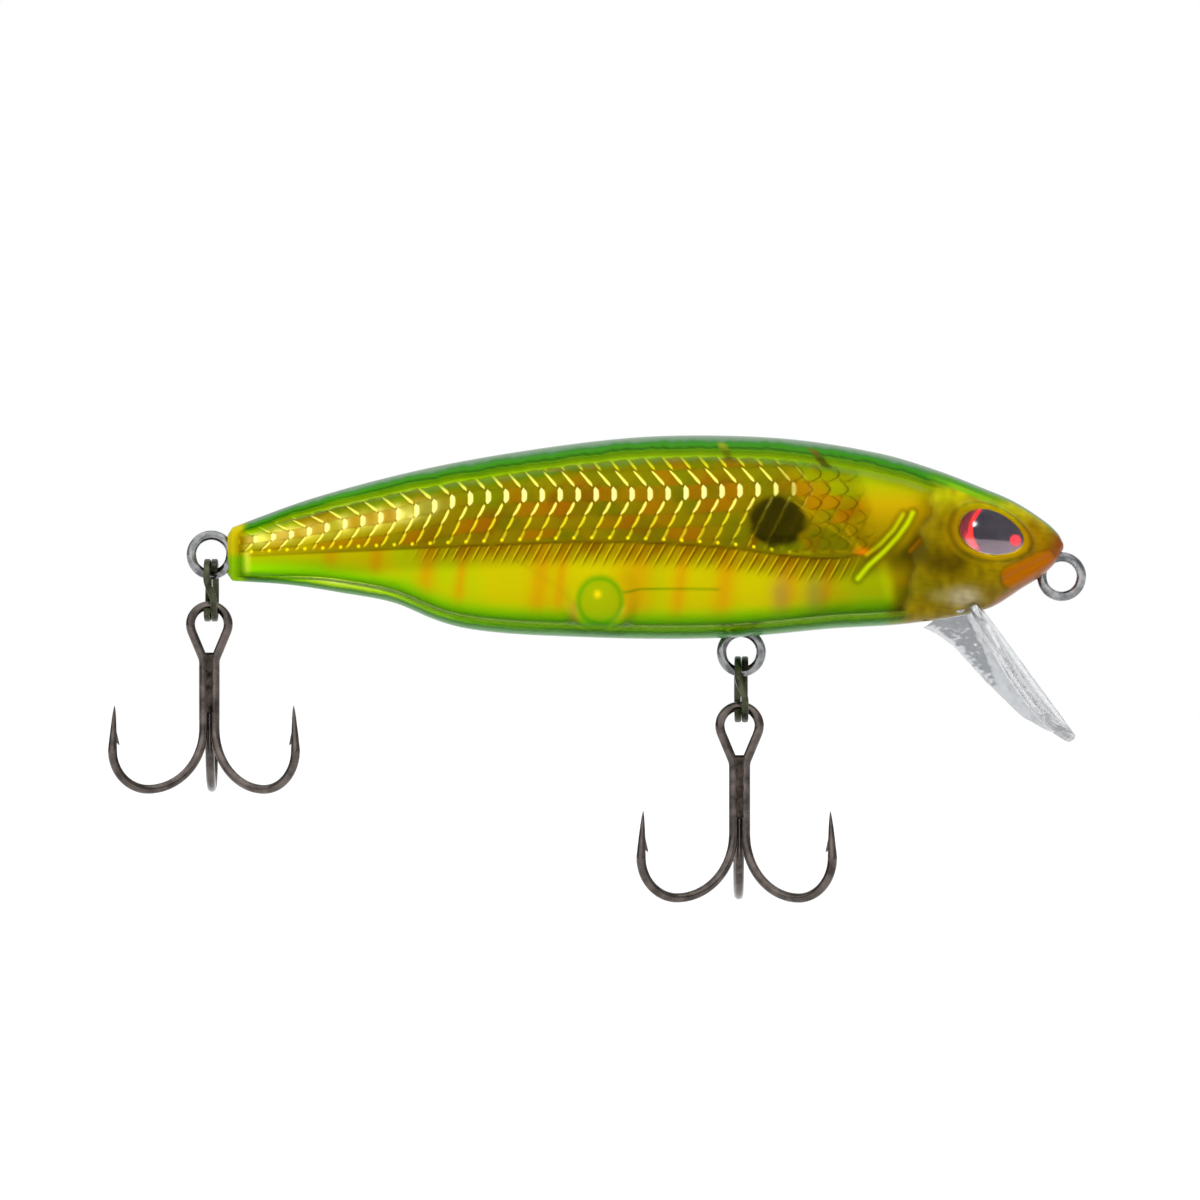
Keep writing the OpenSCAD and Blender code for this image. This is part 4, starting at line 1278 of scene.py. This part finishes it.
@dataclass
class FishEye:
    """A printed egg-shaped disc under a clear dome."""

    side: Side
    eye: EyeForm = EYE
    rings: int = 40
    spokes: int = 96

    def polar(self, rise: Callable[[Array], Array],
              reach: float = 0.0) -> tuple[Array, Array, Array, Array]:
        """Rings that shrink from the outline to its middle, each at share = sin(t) of the outline.

        The outline along each spoke is found by halving.

        Args:
            rise: height at a share of the outline, 1 at the rim and 0 in the middle.
            reach: how far past the outline the rim lies.

        Returns:
            Along, up and out in the seat's coordinates, and the share, each (rings, spokes).
        """
        turn = np.linspace(0, 2 * np.pi, self.spokes, endpoint=False)
        mid = np.array(self.eye.middle)
        low, high = np.zeros(self.spokes), np.full(self.spokes, 8.0)
        for _ in range(32):
            half = (low + high) / 2
            inside = self.eye.distance(mid[0] + half * np.cos(turn), mid[1] + half * np.sin(turn)) < reach
            low, high = np.where(inside, half, low), np.where(inside, high, half)
        share = np.sin(np.linspace(1, 0, self.rings) * np.pi / 2)[:, None]
        u = mid[0] + share * low * np.cos(turn)
        w = mid[1] + share * low * np.sin(turn)
        return u, w, rise(share) + 0 * u, share + 0 * u

    def closed_cap(self, name: str, u: Array, w: Array, top: Array, base: float) -> bpy.types.Object:
        """Closes a domed top of rings with a wall and a flat base.

        Args:
            name: the object's name.
            u: along the seat, (rings, spokes).
            w: up the seat.
            top: height of each point.
            base: height of the base.

        Returns:
            The object.
        """
        upper = self.eye.place(u, w, top).reshape(-1, 3)
        foot = self.eye.place(u[0], w[0], np.full(u.shape[1], base))
        n, m = u.shape
        points = np.concatenate([upper, foot])
        faces = grid_faces(n, m, wrap_v=True).tolist()
        faces.append([(n - 1) * m + j for j in range(m)])
        k = n * m
        faces += [[j, (j + 1) % m, k + (j + 1) % m, k + j] for j in range(m)]
        faces.append([k + j for j in range(m)])
        points[:, 1] *= self.side.value
        return mesh_object(name, points, faces, 50)

    def ink(self, u: Array, w: Array) -> Array:
        """The print: a black pupil, a scarlet crescent behind it, a maroon rear rim and a red spot, with a painted
        grey reflection over the lower part of the pupil.

        Args:
            u: along the seat.
            w: up the seat.

        Returns:
            Linear colour of each point.
        """
        u, w = u.ravel(), w.ravel()
        colour = np.tile(tone("#08060A"), (u.size, 1))
        edge = -0.64 + 0.30 * (w - 0.1) ** 2
        colour = mix(colour, tone("#220406"), smooth(0.05, -0.05, u - edge))
        band = np.exp(-((u - edge + 0.2) / 0.15) ** 4) * smooth(1.9, 1.2, np.abs(w - 0.1))
        colour = mix(colour, tone("#780804"), band)
        colour = mix(colour, tone("#6C0C0C"), np.exp(-((u - edge + 0.5) / 0.2) ** 2) * smooth(0.1, -0.5, w))
        dot = smooth(0.52, 0.36, np.hypot(u - 2.95, w + 0.62))
        colour = mix(colour, tone("#64060E"), dot)
        # under: a painted grey reflection of the floor over the pupil's lower part
        under = smooth(-0.60, -0.68, w + 0.03 * u)
        colour = mix(colour, tone("#3A3236"), under * (1 - dot) * 0.5)
        rim = smooth(-0.20, -0.05, self.eye.distance(u, w))
        return mix(colour, tone("#120608"), rim * 0.85)

    def build(self) -> list[bpy.types.Object]:
        """The disc on its seat and the dome on the disc."""
        name = self.side.name.lower()
        u, w, top, _ = self.polar(lambda s: np.full_like(s, self.eye.disc), -0.03)
        disc = self.closed_cap(f"{name}_eye_print", u, w, top, 0.0)
        base = np.concatenate([self.ink(u, w), self.ink(u[0], w[0])])
        paint(disc, "ink", base)
        put(disc, PrintedEyeFinish(), "lure_body", "printed_eye", f"{name}_eye_disc")
        floor = self.eye.disc + 0.012
        edge = 0.22
        u, w, top, _ = self.polar(
            lambda s: floor + edge + (self.eye.dome - edge) * np.sqrt(np.clip(1 - s ** 2.4, 0, 1)) ** 0.9, -0.03)
        dome = self.closed_cap(f"{name}_eye_resin", u, w, top, floor)
        put(dome, EYE_RESIN, "lure_body", "clear_dome", f"{name}_eye_dome")
        return [disc, dome]


# ---------------------------------------------------------------- lip


@dataclass
class DivingLip:
    """A dished clear plate with a keel behind it, rooted in the chin."""

    chin: tuple[float, float] = (-6.4, -3.0)
    angle_deg: float = 53.8
    length: float = 13.0
    width: float = 13.4
    root_half: float = 2.2
    root_in: float = 2.0
    thickness: float = 0.85
    dish: float = 19.0
    keel_half: float = 0.8
    keel: tuple = ((-2.0, 4.9), (-1.0, 4.35), (0.7, 3.8), (4.7, 3.4), (8.8, 2.7), (10.9, 1.77), (12.2, 0.85),
                   (13.0, 0.8))

    def half_width(self, s: Array) -> Array:
        """Half width down the lip: it widens as 1 - (1 - t)^2, then ends in half an ellipse.

        Args:
            s: distance down the lip from the chin.

        Returns:
            The half width.
        """
        u = (s + self.root_in) / (self.length + self.root_in)
        wide = self.width / 2
        grow = self.root_half + (wide - self.root_half) * (1 - (1 - np.clip(u / 0.62, 0, 1)) ** 2)
        tip = wide * np.sqrt(np.clip(1 - (np.clip(u - 0.62, 0, None) / 0.38) ** 2, 0, None))
        return np.where(u < 0.62, grow, tip)

    def place(self, s: Array, y: Array, out: Array) -> Array:
        """Takes the lip's coordinates to the lure's frame.

        Args:
            s: distance down the lip from the chin.
            y: across it.
            out: out from its front.

        Returns:
            Points in the lure's frame.
        """
        a = math.radians(self.angle_deg)
        return np.stack([self.chin[0] + s * math.cos(a) + out * math.sin(a), y,
                         self.chin[1] - s * math.sin(a) + out * math.cos(a)], -1)

    def build(self) -> bpy.types.Object:
        """Closed solid: front grid and back grid meet at a thin rounded edge."""
        n, m = 130, 141
        s = -self.root_in + (self.length + self.root_in) * (1 - (1 - np.linspace(0, 1, n)) ** 1.6)
        v = np.linspace(-1, 1, m)
        v = 0.35 * v + 0.65 * v ** 3
        ss, vv = np.meshgrid(s, v, indexing="ij")
        y = vv * np.maximum(self.half_width(ss), 0.02)
        dish = np.sqrt(np.clip(self.dish ** 2 - y ** 2, 0, None)) - self.dish
        edge = np.minimum((1 - np.abs(vv)) * self.half_width(ss), (self.length - ss) * 0.8)
        roll = 0.22 * (1 - np.clip(edge / 0.3, 0, 1)) ** 2
        ridge = np.interp(ss, [k[0] for k in self.keel], [k[1] for k in self.keel])
        ridge = np.maximum(ridge - self.thickness, 0)
        keel = ridge * smooth(self.keel_half + 0.25, self.keel_half - 0.12, np.abs(y))
        gutter = 0.12 * np.exp(-((np.abs(y) - 0.62 * self.half_width(ss)) / 0.5) ** 2)
        front = self.place(ss, y, dish - roll - gutter * smooth(0.5, 3.0, ss) * smooth(12.4, 10.5, ss))
        back = self.place(ss, y, dish - self.thickness + roll - keel)
        obj = mesh_object("clear_diving_lip", *thin_sheet(front, back), 32)
        return put(obj, LIP_PLASTIC, "lure_body", "clear_lip", "diving_lip")


# ---------------------------------------------------------------- wire parts


@dataclass
class Hanger:
    """A figure-of-eight of one wire: the outer eye at at, the inner one along turn_deg."""

    name: str
    node: str
    at: tuple[float, float]
    turn_deg: float
    radius: float = 1.65
    wire: float = 0.4

    def build(self) -> bpy.types.Object:
        """Two arcs joined by strands that cross side by side at the neck."""
        pitch = 2 * self.radius + 0.05
        cross = math.degrees(math.acos(2 * self.radius / pitch))
        first = arc((0, 0), self.radius, cross, 360 - cross, 90)
        second = arc((pitch, 0), self.radius, 180 - cross, -(180 - cross), 90)
        flat = np.concatenate([first, second])
        sway = np.concatenate([np.cos(np.linspace(0, np.pi, 90)), -np.cos(np.linspace(0, np.pi, 90))])
        step = np.sign(sway) * np.abs(sway) ** 3 * self.wire * 0.95
        a = math.radians(self.turn_deg)
        x = self.at[0] + flat[:, 0] * math.cos(a) - flat[:, 1] * math.sin(a)
        z = self.at[1] + flat[:, 0] * math.sin(a) + flat[:, 1] * math.cos(a)
        points, faces = swept_tube(np.stack([x, step, z], 1), self.wire, 24, closed=True)
        obj = mesh_object(self.name, points, faces, 80)
        return put(obj, BRIGHT_WIRE, "lure_body", "steel_wire", self.node)


@dataclass
class SplitRing:
    """Flat spring wire wound almost twice round, its step and cut ends facing the fish's right."""

    name: str
    node: str
    body: str
    at: tuple[float, float]
    diameter: float
    height: float = 0.69
    width: float = 0.555
    shift: float = 0.2975
    step_deg: float = 26.0

    def build(self) -> bpy.types.Object:
        """A rounded rectangle carried round; it moves over by one coil while it crosses the front."""
        turn = np.linspace(180 - (360 - 2 * self.step_deg), 180 + (360 - 2 * self.step_deg), 300)
        u = np.clip((turn - 180) / self.step_deg, -1, 1)
        x = self.at[0] + self.shift * np.sin(u * np.pi / 2)
        t = np.radians(turn)
        middle = self.diameter / 2 - self.height / 2
        path = np.stack([x, middle * np.cos(t), self.at[1] + middle * np.sin(t)], 1)
        a = np.linspace(0, 2 * np.pi, 24, endpoint=False)
        power = 0.45
        section = np.stack([np.sign(np.cos(a)) * np.abs(np.cos(a)) ** power * self.width / 2,
                            np.sign(np.sin(a)) * np.abs(np.sin(a)) ** power * self.height / 2], 1)
        points, faces = swept_tube(path, 1.0, section=section, normal=np.array([1.0, 0, 0]))
        obj = mesh_object(self.name, points, faces, 35)
        return put(obj, OLIVE_RING, self.body, "black_ring", self.node)


@dataclass
class TrebleHook:
    """Three points on one shank: a double hook of one wire, a single one behind it, and the braze."""

    name: str
    body: str
    at: tuple[float, float]
    size: float
    wire: float = 0.4
    eye_radius: float = 1.65
    shank_x: float = 0.5
    third_y: float = 0.68
    throat: float = 5.25
    bend: float = 3.4
    spear: float = 3.9
    lean_deg: float = 3.0
    shank_drop: float = 3.0
    braze_end: float = 7.8
    reach: float = 14.35
    splay: tuple = (206.0, -34.0, 90.0)
    barb_from_tip: float = 3.3
    barb: float = 0.55

    def arm(self, start: tuple[float, float], direction: float) -> Array:
        """One arm: a wide arc out from the shank, a tighter one up, and a straight spear to the tip.

        Args:
            start: the shank's X and Y.
            direction: the arm's direction about the shank, in degrees.

        Returns:
            (n, 3) points from the shank to the tip.
        """
        low = -self.reach
        out = arc((self.throat, low + self.throat), self.throat, 180, 270, 40)
        up = arc((self.throat, low + self.bend), self.bend, 270, 360, 40)
        lean = math.radians(self.lean_deg)
        tip = np.array([self.throat + self.bend - self.spear * math.sin(lean),
                        low + self.bend + self.spear * math.cos(lean)])
        spear = up[-1] + (tip - up[-1]) * np.linspace(0, 1, 24)[1:, None]
        flat = np.concatenate([out, up[1:], spear])
        a = math.radians(direction)
        return np.stack([start[0] + flat[:, 0] * math.cos(a),
                         start[1] + flat[:, 0] * math.sin(a), flat[:, 1]], 1)

    def eye(self) -> Array:
        """The teardrop eye from the left shank's top round to the right shank's top, in XZ."""
        d = math.hypot(self.shank_x, self.shank_drop)
        a = math.degrees(math.atan2(-self.shank_drop, self.shank_x)) + math.degrees(math.acos(self.eye_radius / d))
        round_part = arc((0, 0), self.eye_radius, 180 - a, a, 80)
        left = np.array([[-self.shank_x, -self.shank_drop - 0.35],
                         [-self.shank_x - 0.035, -self.shank_drop]])
        right = left[::-1] * [-1, 1]
        flat = np.concatenate([left, round_part, right])
        return np.stack([flat[:, 0], np.zeros(len(flat)), flat[:, 1]], 1)

    def wire_piece(self, path: Array, points_at: tuple[bool, bool]) -> tuple[Array, list]:
        """Sweeps wire along a path; towards a point its radius falls as (distance / spear)^0.62.

        Args:
            path: (n, 3) points in order.
            points_at: whether the start and the end are hook points.

        Returns:
            The points and faces.
        """
        path, run = even_path(path, 0.11)
        smooth_path = path.copy()
        for _ in range(3):
            smooth_path[1:-1] = (smooth_path[:-2] + 2 * smooth_path[1:-1] + smooth_path[2:]) / 4
        radius = np.full(len(run), self.wire)
        for wanted, left in zip(points_at, (run, run[-1] - run)):
            if wanted:
                taper = self.wire * np.clip(left / self.spear, 0, 1) ** 0.62
                radius = np.minimum(radius, np.maximum(taper, 0.02))
        ref = np.array([0.013, 1.0, 0.02]) if points_at[0] else np.array([1.0, 0.02, 0.013])
        return swept_tube(smooth_path, radius, 18, normal=ref)

    def barb_piece(self, arm: Array) -> tuple[Array, list]:
        """A small lifted sliver on the inside of the point, aimed back down at the bend.

        Args:
            arm: the arm's points.

        Returns:
            The points and faces.
        """
        tip, base = arm[-1], arm[-24]
        along = (base - tip) / np.linalg.norm(base - tip)
        inward = arm[40] - arm[-24]
        inward[2] = 0
        inward /= np.linalg.norm(inward)
        root = tip + along * (self.barb_from_tip - 1.5)
        end = tip + along * (self.barb_from_tip + 0.15) + inward * (self.wire + self.barb * 0.42)
        path = root + (end - root) * np.linspace(0, 1, 14)[:, None]
        path -= inward * (0.12 * np.sin(np.linspace(0, np.pi, 14)))[:, None]
        radius = 0.2 * np.sin(np.linspace(0.25, 1, 14) * np.pi) ** 0.7 + 0.012
        return swept_tube(path, radius, 12, normal=np.cross(along, inward))

    def braze_piece(self) -> tuple[Array, list]:
        """The hull of the three wires, just inside them, from under the eye to where they part."""
        turn = np.linspace(0, 2 * np.pi, 60, endpoint=False)
        u = np.stack([np.cos(turn), np.sin(turn)], 1)
        centres = np.array([[-self.shank_x, 0], [self.shank_x, 0], [0, self.third_y]])
        pick = centres[np.argmax(u @ centres.T, axis=1)]
        z = np.linspace(-self.shank_drop + 0.55, -self.braze_end, 60)
        share = (z + self.braze_end) / (self.braze_end - self.shank_drop + 0.55)
        radius = self.wire * (0.93 - 0.10 * np.sin(share * 13) ** 2) * np.sqrt(
            np.clip(np.minimum(share / 0.03, (1 - share) / 0.05), 0.06, 1))
        spread = 1 - 0.35 * smooth(0.9, 1.0, share)
        ring = pick[None] * spread[:, None, None] + u[None] * radius[:, None, None]
        points = np.concatenate([ring, np.broadcast_to(z[:, None, None], (60, 60, 1))], -1)
        faces = grid_faces(60, 60, wrap_v=True).tolist() + [list(range(60)), [59 * 60 + k for k in range(60)]]
        return points.reshape(-1, 3), faces

    def build(self) -> list[bpy.types.Object]:
        """The double hook, the third hook and the braze, in place."""
        arms = [self.arm((-self.shank_x, 0), self.splay[0]), self.arm((self.shank_x, 0), self.splay[1]),
                self.arm((0, self.third_y), self.splay[2])]
        double = np.concatenate([arms[0][::-1], self.eye(), arms[1]])
        top = np.array([[0, self.third_y - 0.1, -self.shank_drop - 0.1]])
        third = np.concatenate([top, [[0, self.third_y, -self.shank_drop - 0.6]], arms[2]])
        sets = {
            "double_hook": merged([self.wire_piece(double, (True, True)), self.barb_piece(arms[0]),
                                   self.barb_piece(arms[1])]),
            "third_hook": merged([self.wire_piece(third, (False, True)), self.barb_piece(arms[2])]),
            "hook_braze": self.braze_piece(),
        }
        made = []
        for part, (points, faces) in sets.items():
            placed = points * self.size + np.array([self.at[0], 0, self.at[1]])
            obj = mesh_object(f"{self.name}_{part}_piece", placed, faces, 50)
            finish = DARK_BRAZE if part == "hook_braze" else BLACK_NICKEL
            slot = "braze_metal" if part == "hook_braze" else "black_nickel_hook"
            made.append(put(obj, finish, self.body, slot, f"{self.name}_{part}"))
        return made


# ---------------------------------------------------------------- inside and studio


@dataclass
class BallastSlug:
    """A metal bar across the body with domed ends, pressed into the sockets of both halves."""

    name: str
    node: str
    at: tuple[float, float]
    radius: float = 1.15
    half_length: float = 2.85
    dome: float = 1.1

    def build(self) -> bpy.types.Object:
        """A circle carried along Y; its radius is radius * sqrt(1 - t^2), t rising through each dome."""
        y = self.half_length * np.sin(np.linspace(-1, 1, 61) * np.pi / 2)
        t = np.clip((np.abs(y) - self.half_length + self.dome) / self.dome, 0, 0.9995)
        path = np.stack([np.full(61, self.at[0]), y, np.full(61, self.at[1])], 1)
        points, faces = swept_tube(path, self.radius * np.sqrt(1 - t * t), 40, normal=np.array([1.0, 0, 0]))
        obj = mesh_object(self.name, points, faces, 40)
        return put(obj, WEIGHT_METAL, "lure_body", "ballast_metal", self.node)


@dataclass
class InsideMetal:
    """The rattle ball and the lip's pin: they keep their machined shapes and get their finish."""

    nodes: dict
    names: tuple[str, ...] = ("rattle_ball", "lip_pin")
    finish: WireFinish = BRIGHT_WIRE

    def build(self) -> None:
        """Puts the finish in every slot of each node."""
        for name in self.names:
            obj = self.nodes[name]
            for index in range(max(len(obj.material_slots), 1)):
                if len(obj.material_slots) <= index:
                    obj.data.materials.append(material_of(self.finish))
                obj.material_slots[index].material = material_of(self.finish)
            LOG.info("%s keeps its shape", name)


@dataclass
class Studio:
    """Plain pale floor, soft lights and a long lens square to the fish's right side."""

    centre: tuple[float, float] = (-38.7, -1.96)
    span: float = 100.6
    lens: float = 300.0
    floor_z: float = -48.0
    room: float = 0.32

    def floor(self) -> None:
        """A large matt sheet under the hooks."""
        size = 3000.0
        points = np.array([[-size, -size, self.floor_z], [size, -size, self.floor_z],
                           [size, size, self.floor_z], [-size, size, self.floor_z]])
        obj = mesh_object("studio_floor", points, [[0, 1, 2, 3]], closed=False)
        material, tree, out = new_material("matt studio paper")
        shader = add_node(tree, "ShaderNodeBsdfPrincipled", Base_Color=linear("#FCFCFC"), Roughness=1.0)
        tree.links.new(shader.outputs[0], out.inputs["Surface"])
        obj.data.materials.append(material)

    def light(self, name: str, azimuth: float, elevation: float, spread: float,
              strength: float) -> bpy.types.Object:
        """Adds one soft lamp far away.

        Args:
            name: the lamp's name.
            azimuth: where it stands, in degrees from the camera towards the nose.
            elevation: its height in degrees.
            spread: how wide it looks, in degrees.
            strength: its light.

        Returns:
            The lamp.
        """
        lamp = bpy.data.lights.new(name, "SUN")
        lamp.angle = math.radians(spread)
        lamp.energy = strength
        obj = bpy.data.objects.new(name, lamp)
        obj.rotation_euler = (math.radians(90 - elevation), 0, math.radians(azimuth))
        bpy.context.scene.collection.objects.link(obj)
        return obj

    def sky(self) -> None:
        """A white room to look at that lights the lure only dimly, so the lamps give its form."""
        world = bpy.data.worlds.new("studio room")
        bpy.context.scene.world = world
        world.use_nodes = True
        tree = world.node_tree
        tree.nodes.clear()
        path = add_node(tree, "ShaderNodeLightPath")
        room = add_node(tree, "ShaderNodeBackground", Color=(0.93, 0.96, 1.0, 1), Strength=self.room)
        white = add_node(tree, "ShaderNodeBackground", Color=(1, 1, 1, 1), Strength=1.0)
        both = add_node(tree, "ShaderNodeMixShader", i0=path.outputs["Is Camera Ray"],
                        i1=room.outputs[0], i2=white.outputs[0])
        add_node(tree, "ShaderNodeOutputWorld", Surface=both.outputs[0])

    def build(self, eyes: list[bpy.types.Object]) -> None:
        """Floor, room, lamps and camera; a small window lamp glints on the eyes only.

        Args:
            eyes: the clear domes.
        """
        group = bpy.data.collections.new("eyes that catch the window")
        for dome in eyes:
            group.objects.link(dome)
        scene = bpy.context.scene
        scene.view_settings.view_transform = "Standard"
        self.floor()
        self.sky()
        x, z = self.centre
        self.light("key softbox", -22, 52, 110, 2.3)
        self.light("fill softbox", 50, 30, 120, 0.4)
        self.light("rear softbox", 175, 55, 100, 1.0)
        window = self.light("small window lamp", 10, 32, 12, 26.0)
        window.visible_diffuse = window.visible_transmission = False
        window.light_linking.receiver_collection = group
        camera = bpy.data.cameras.new("camera")
        camera.lens = self.lens
        camera.sensor_width = 36
        camera.clip_end = 20
        distance = self.span * self.lens / 36
        obj = bpy.data.objects.new("camera", camera)
        obj.location = (x * MM, -distance * MM, z * MM)
        obj.rotation_euler = (math.pi / 2, 0, 0)
        scene.collection.objects.link(obj)
        scene.camera = obj


def main() -> None:
    """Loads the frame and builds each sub-assembly in order."""
    logging.basicConfig(level=logging.INFO, format="%(message)s")
    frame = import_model()
    domes = []
    for side in Side:
        ClearShell(side).build()
        ScaleFilm(side).build()
        domes.append(FishEye(side).build()[1])
    Studio().build(domes)
    DivingLip().build()
    Hanger("nose_line_tie_wire", "line_tie", (0, 0), 141).build()
    Hanger("belly_hanger_wire", "belly_hanger", (-26.85, -6.34), 90).build()
    Hanger("tail_hanger_wire", "tail_hanger", (-71.3, 1.82), 0).build()
    SplitRing("belly_ring_coil", "belly_split_ring", "belly_ring", (-26.85, -9.45), 5.56).build()
    SplitRing("tail_ring_coil", "tail_split_ring", "tail_ring", (-71.3, -1.14), 5.26).build()
    TrebleHook("belly", "belly_treble", (-27.0, -12.51), 1.0).build()
    TrebleHook("tail", "tail_treble", (-71.45, -4.01), 0.96).build()
    BallastSlug("rear_ballast_bar", "rear_ballast", (-23.5, -1.3)).build()
    BallastSlug("front_ballast_bar", "front_ballast", (-20.6, -1.4)).build()
    InsideMetal(frame["nodes"]).build()


if __name__ == "__main__":
    main()
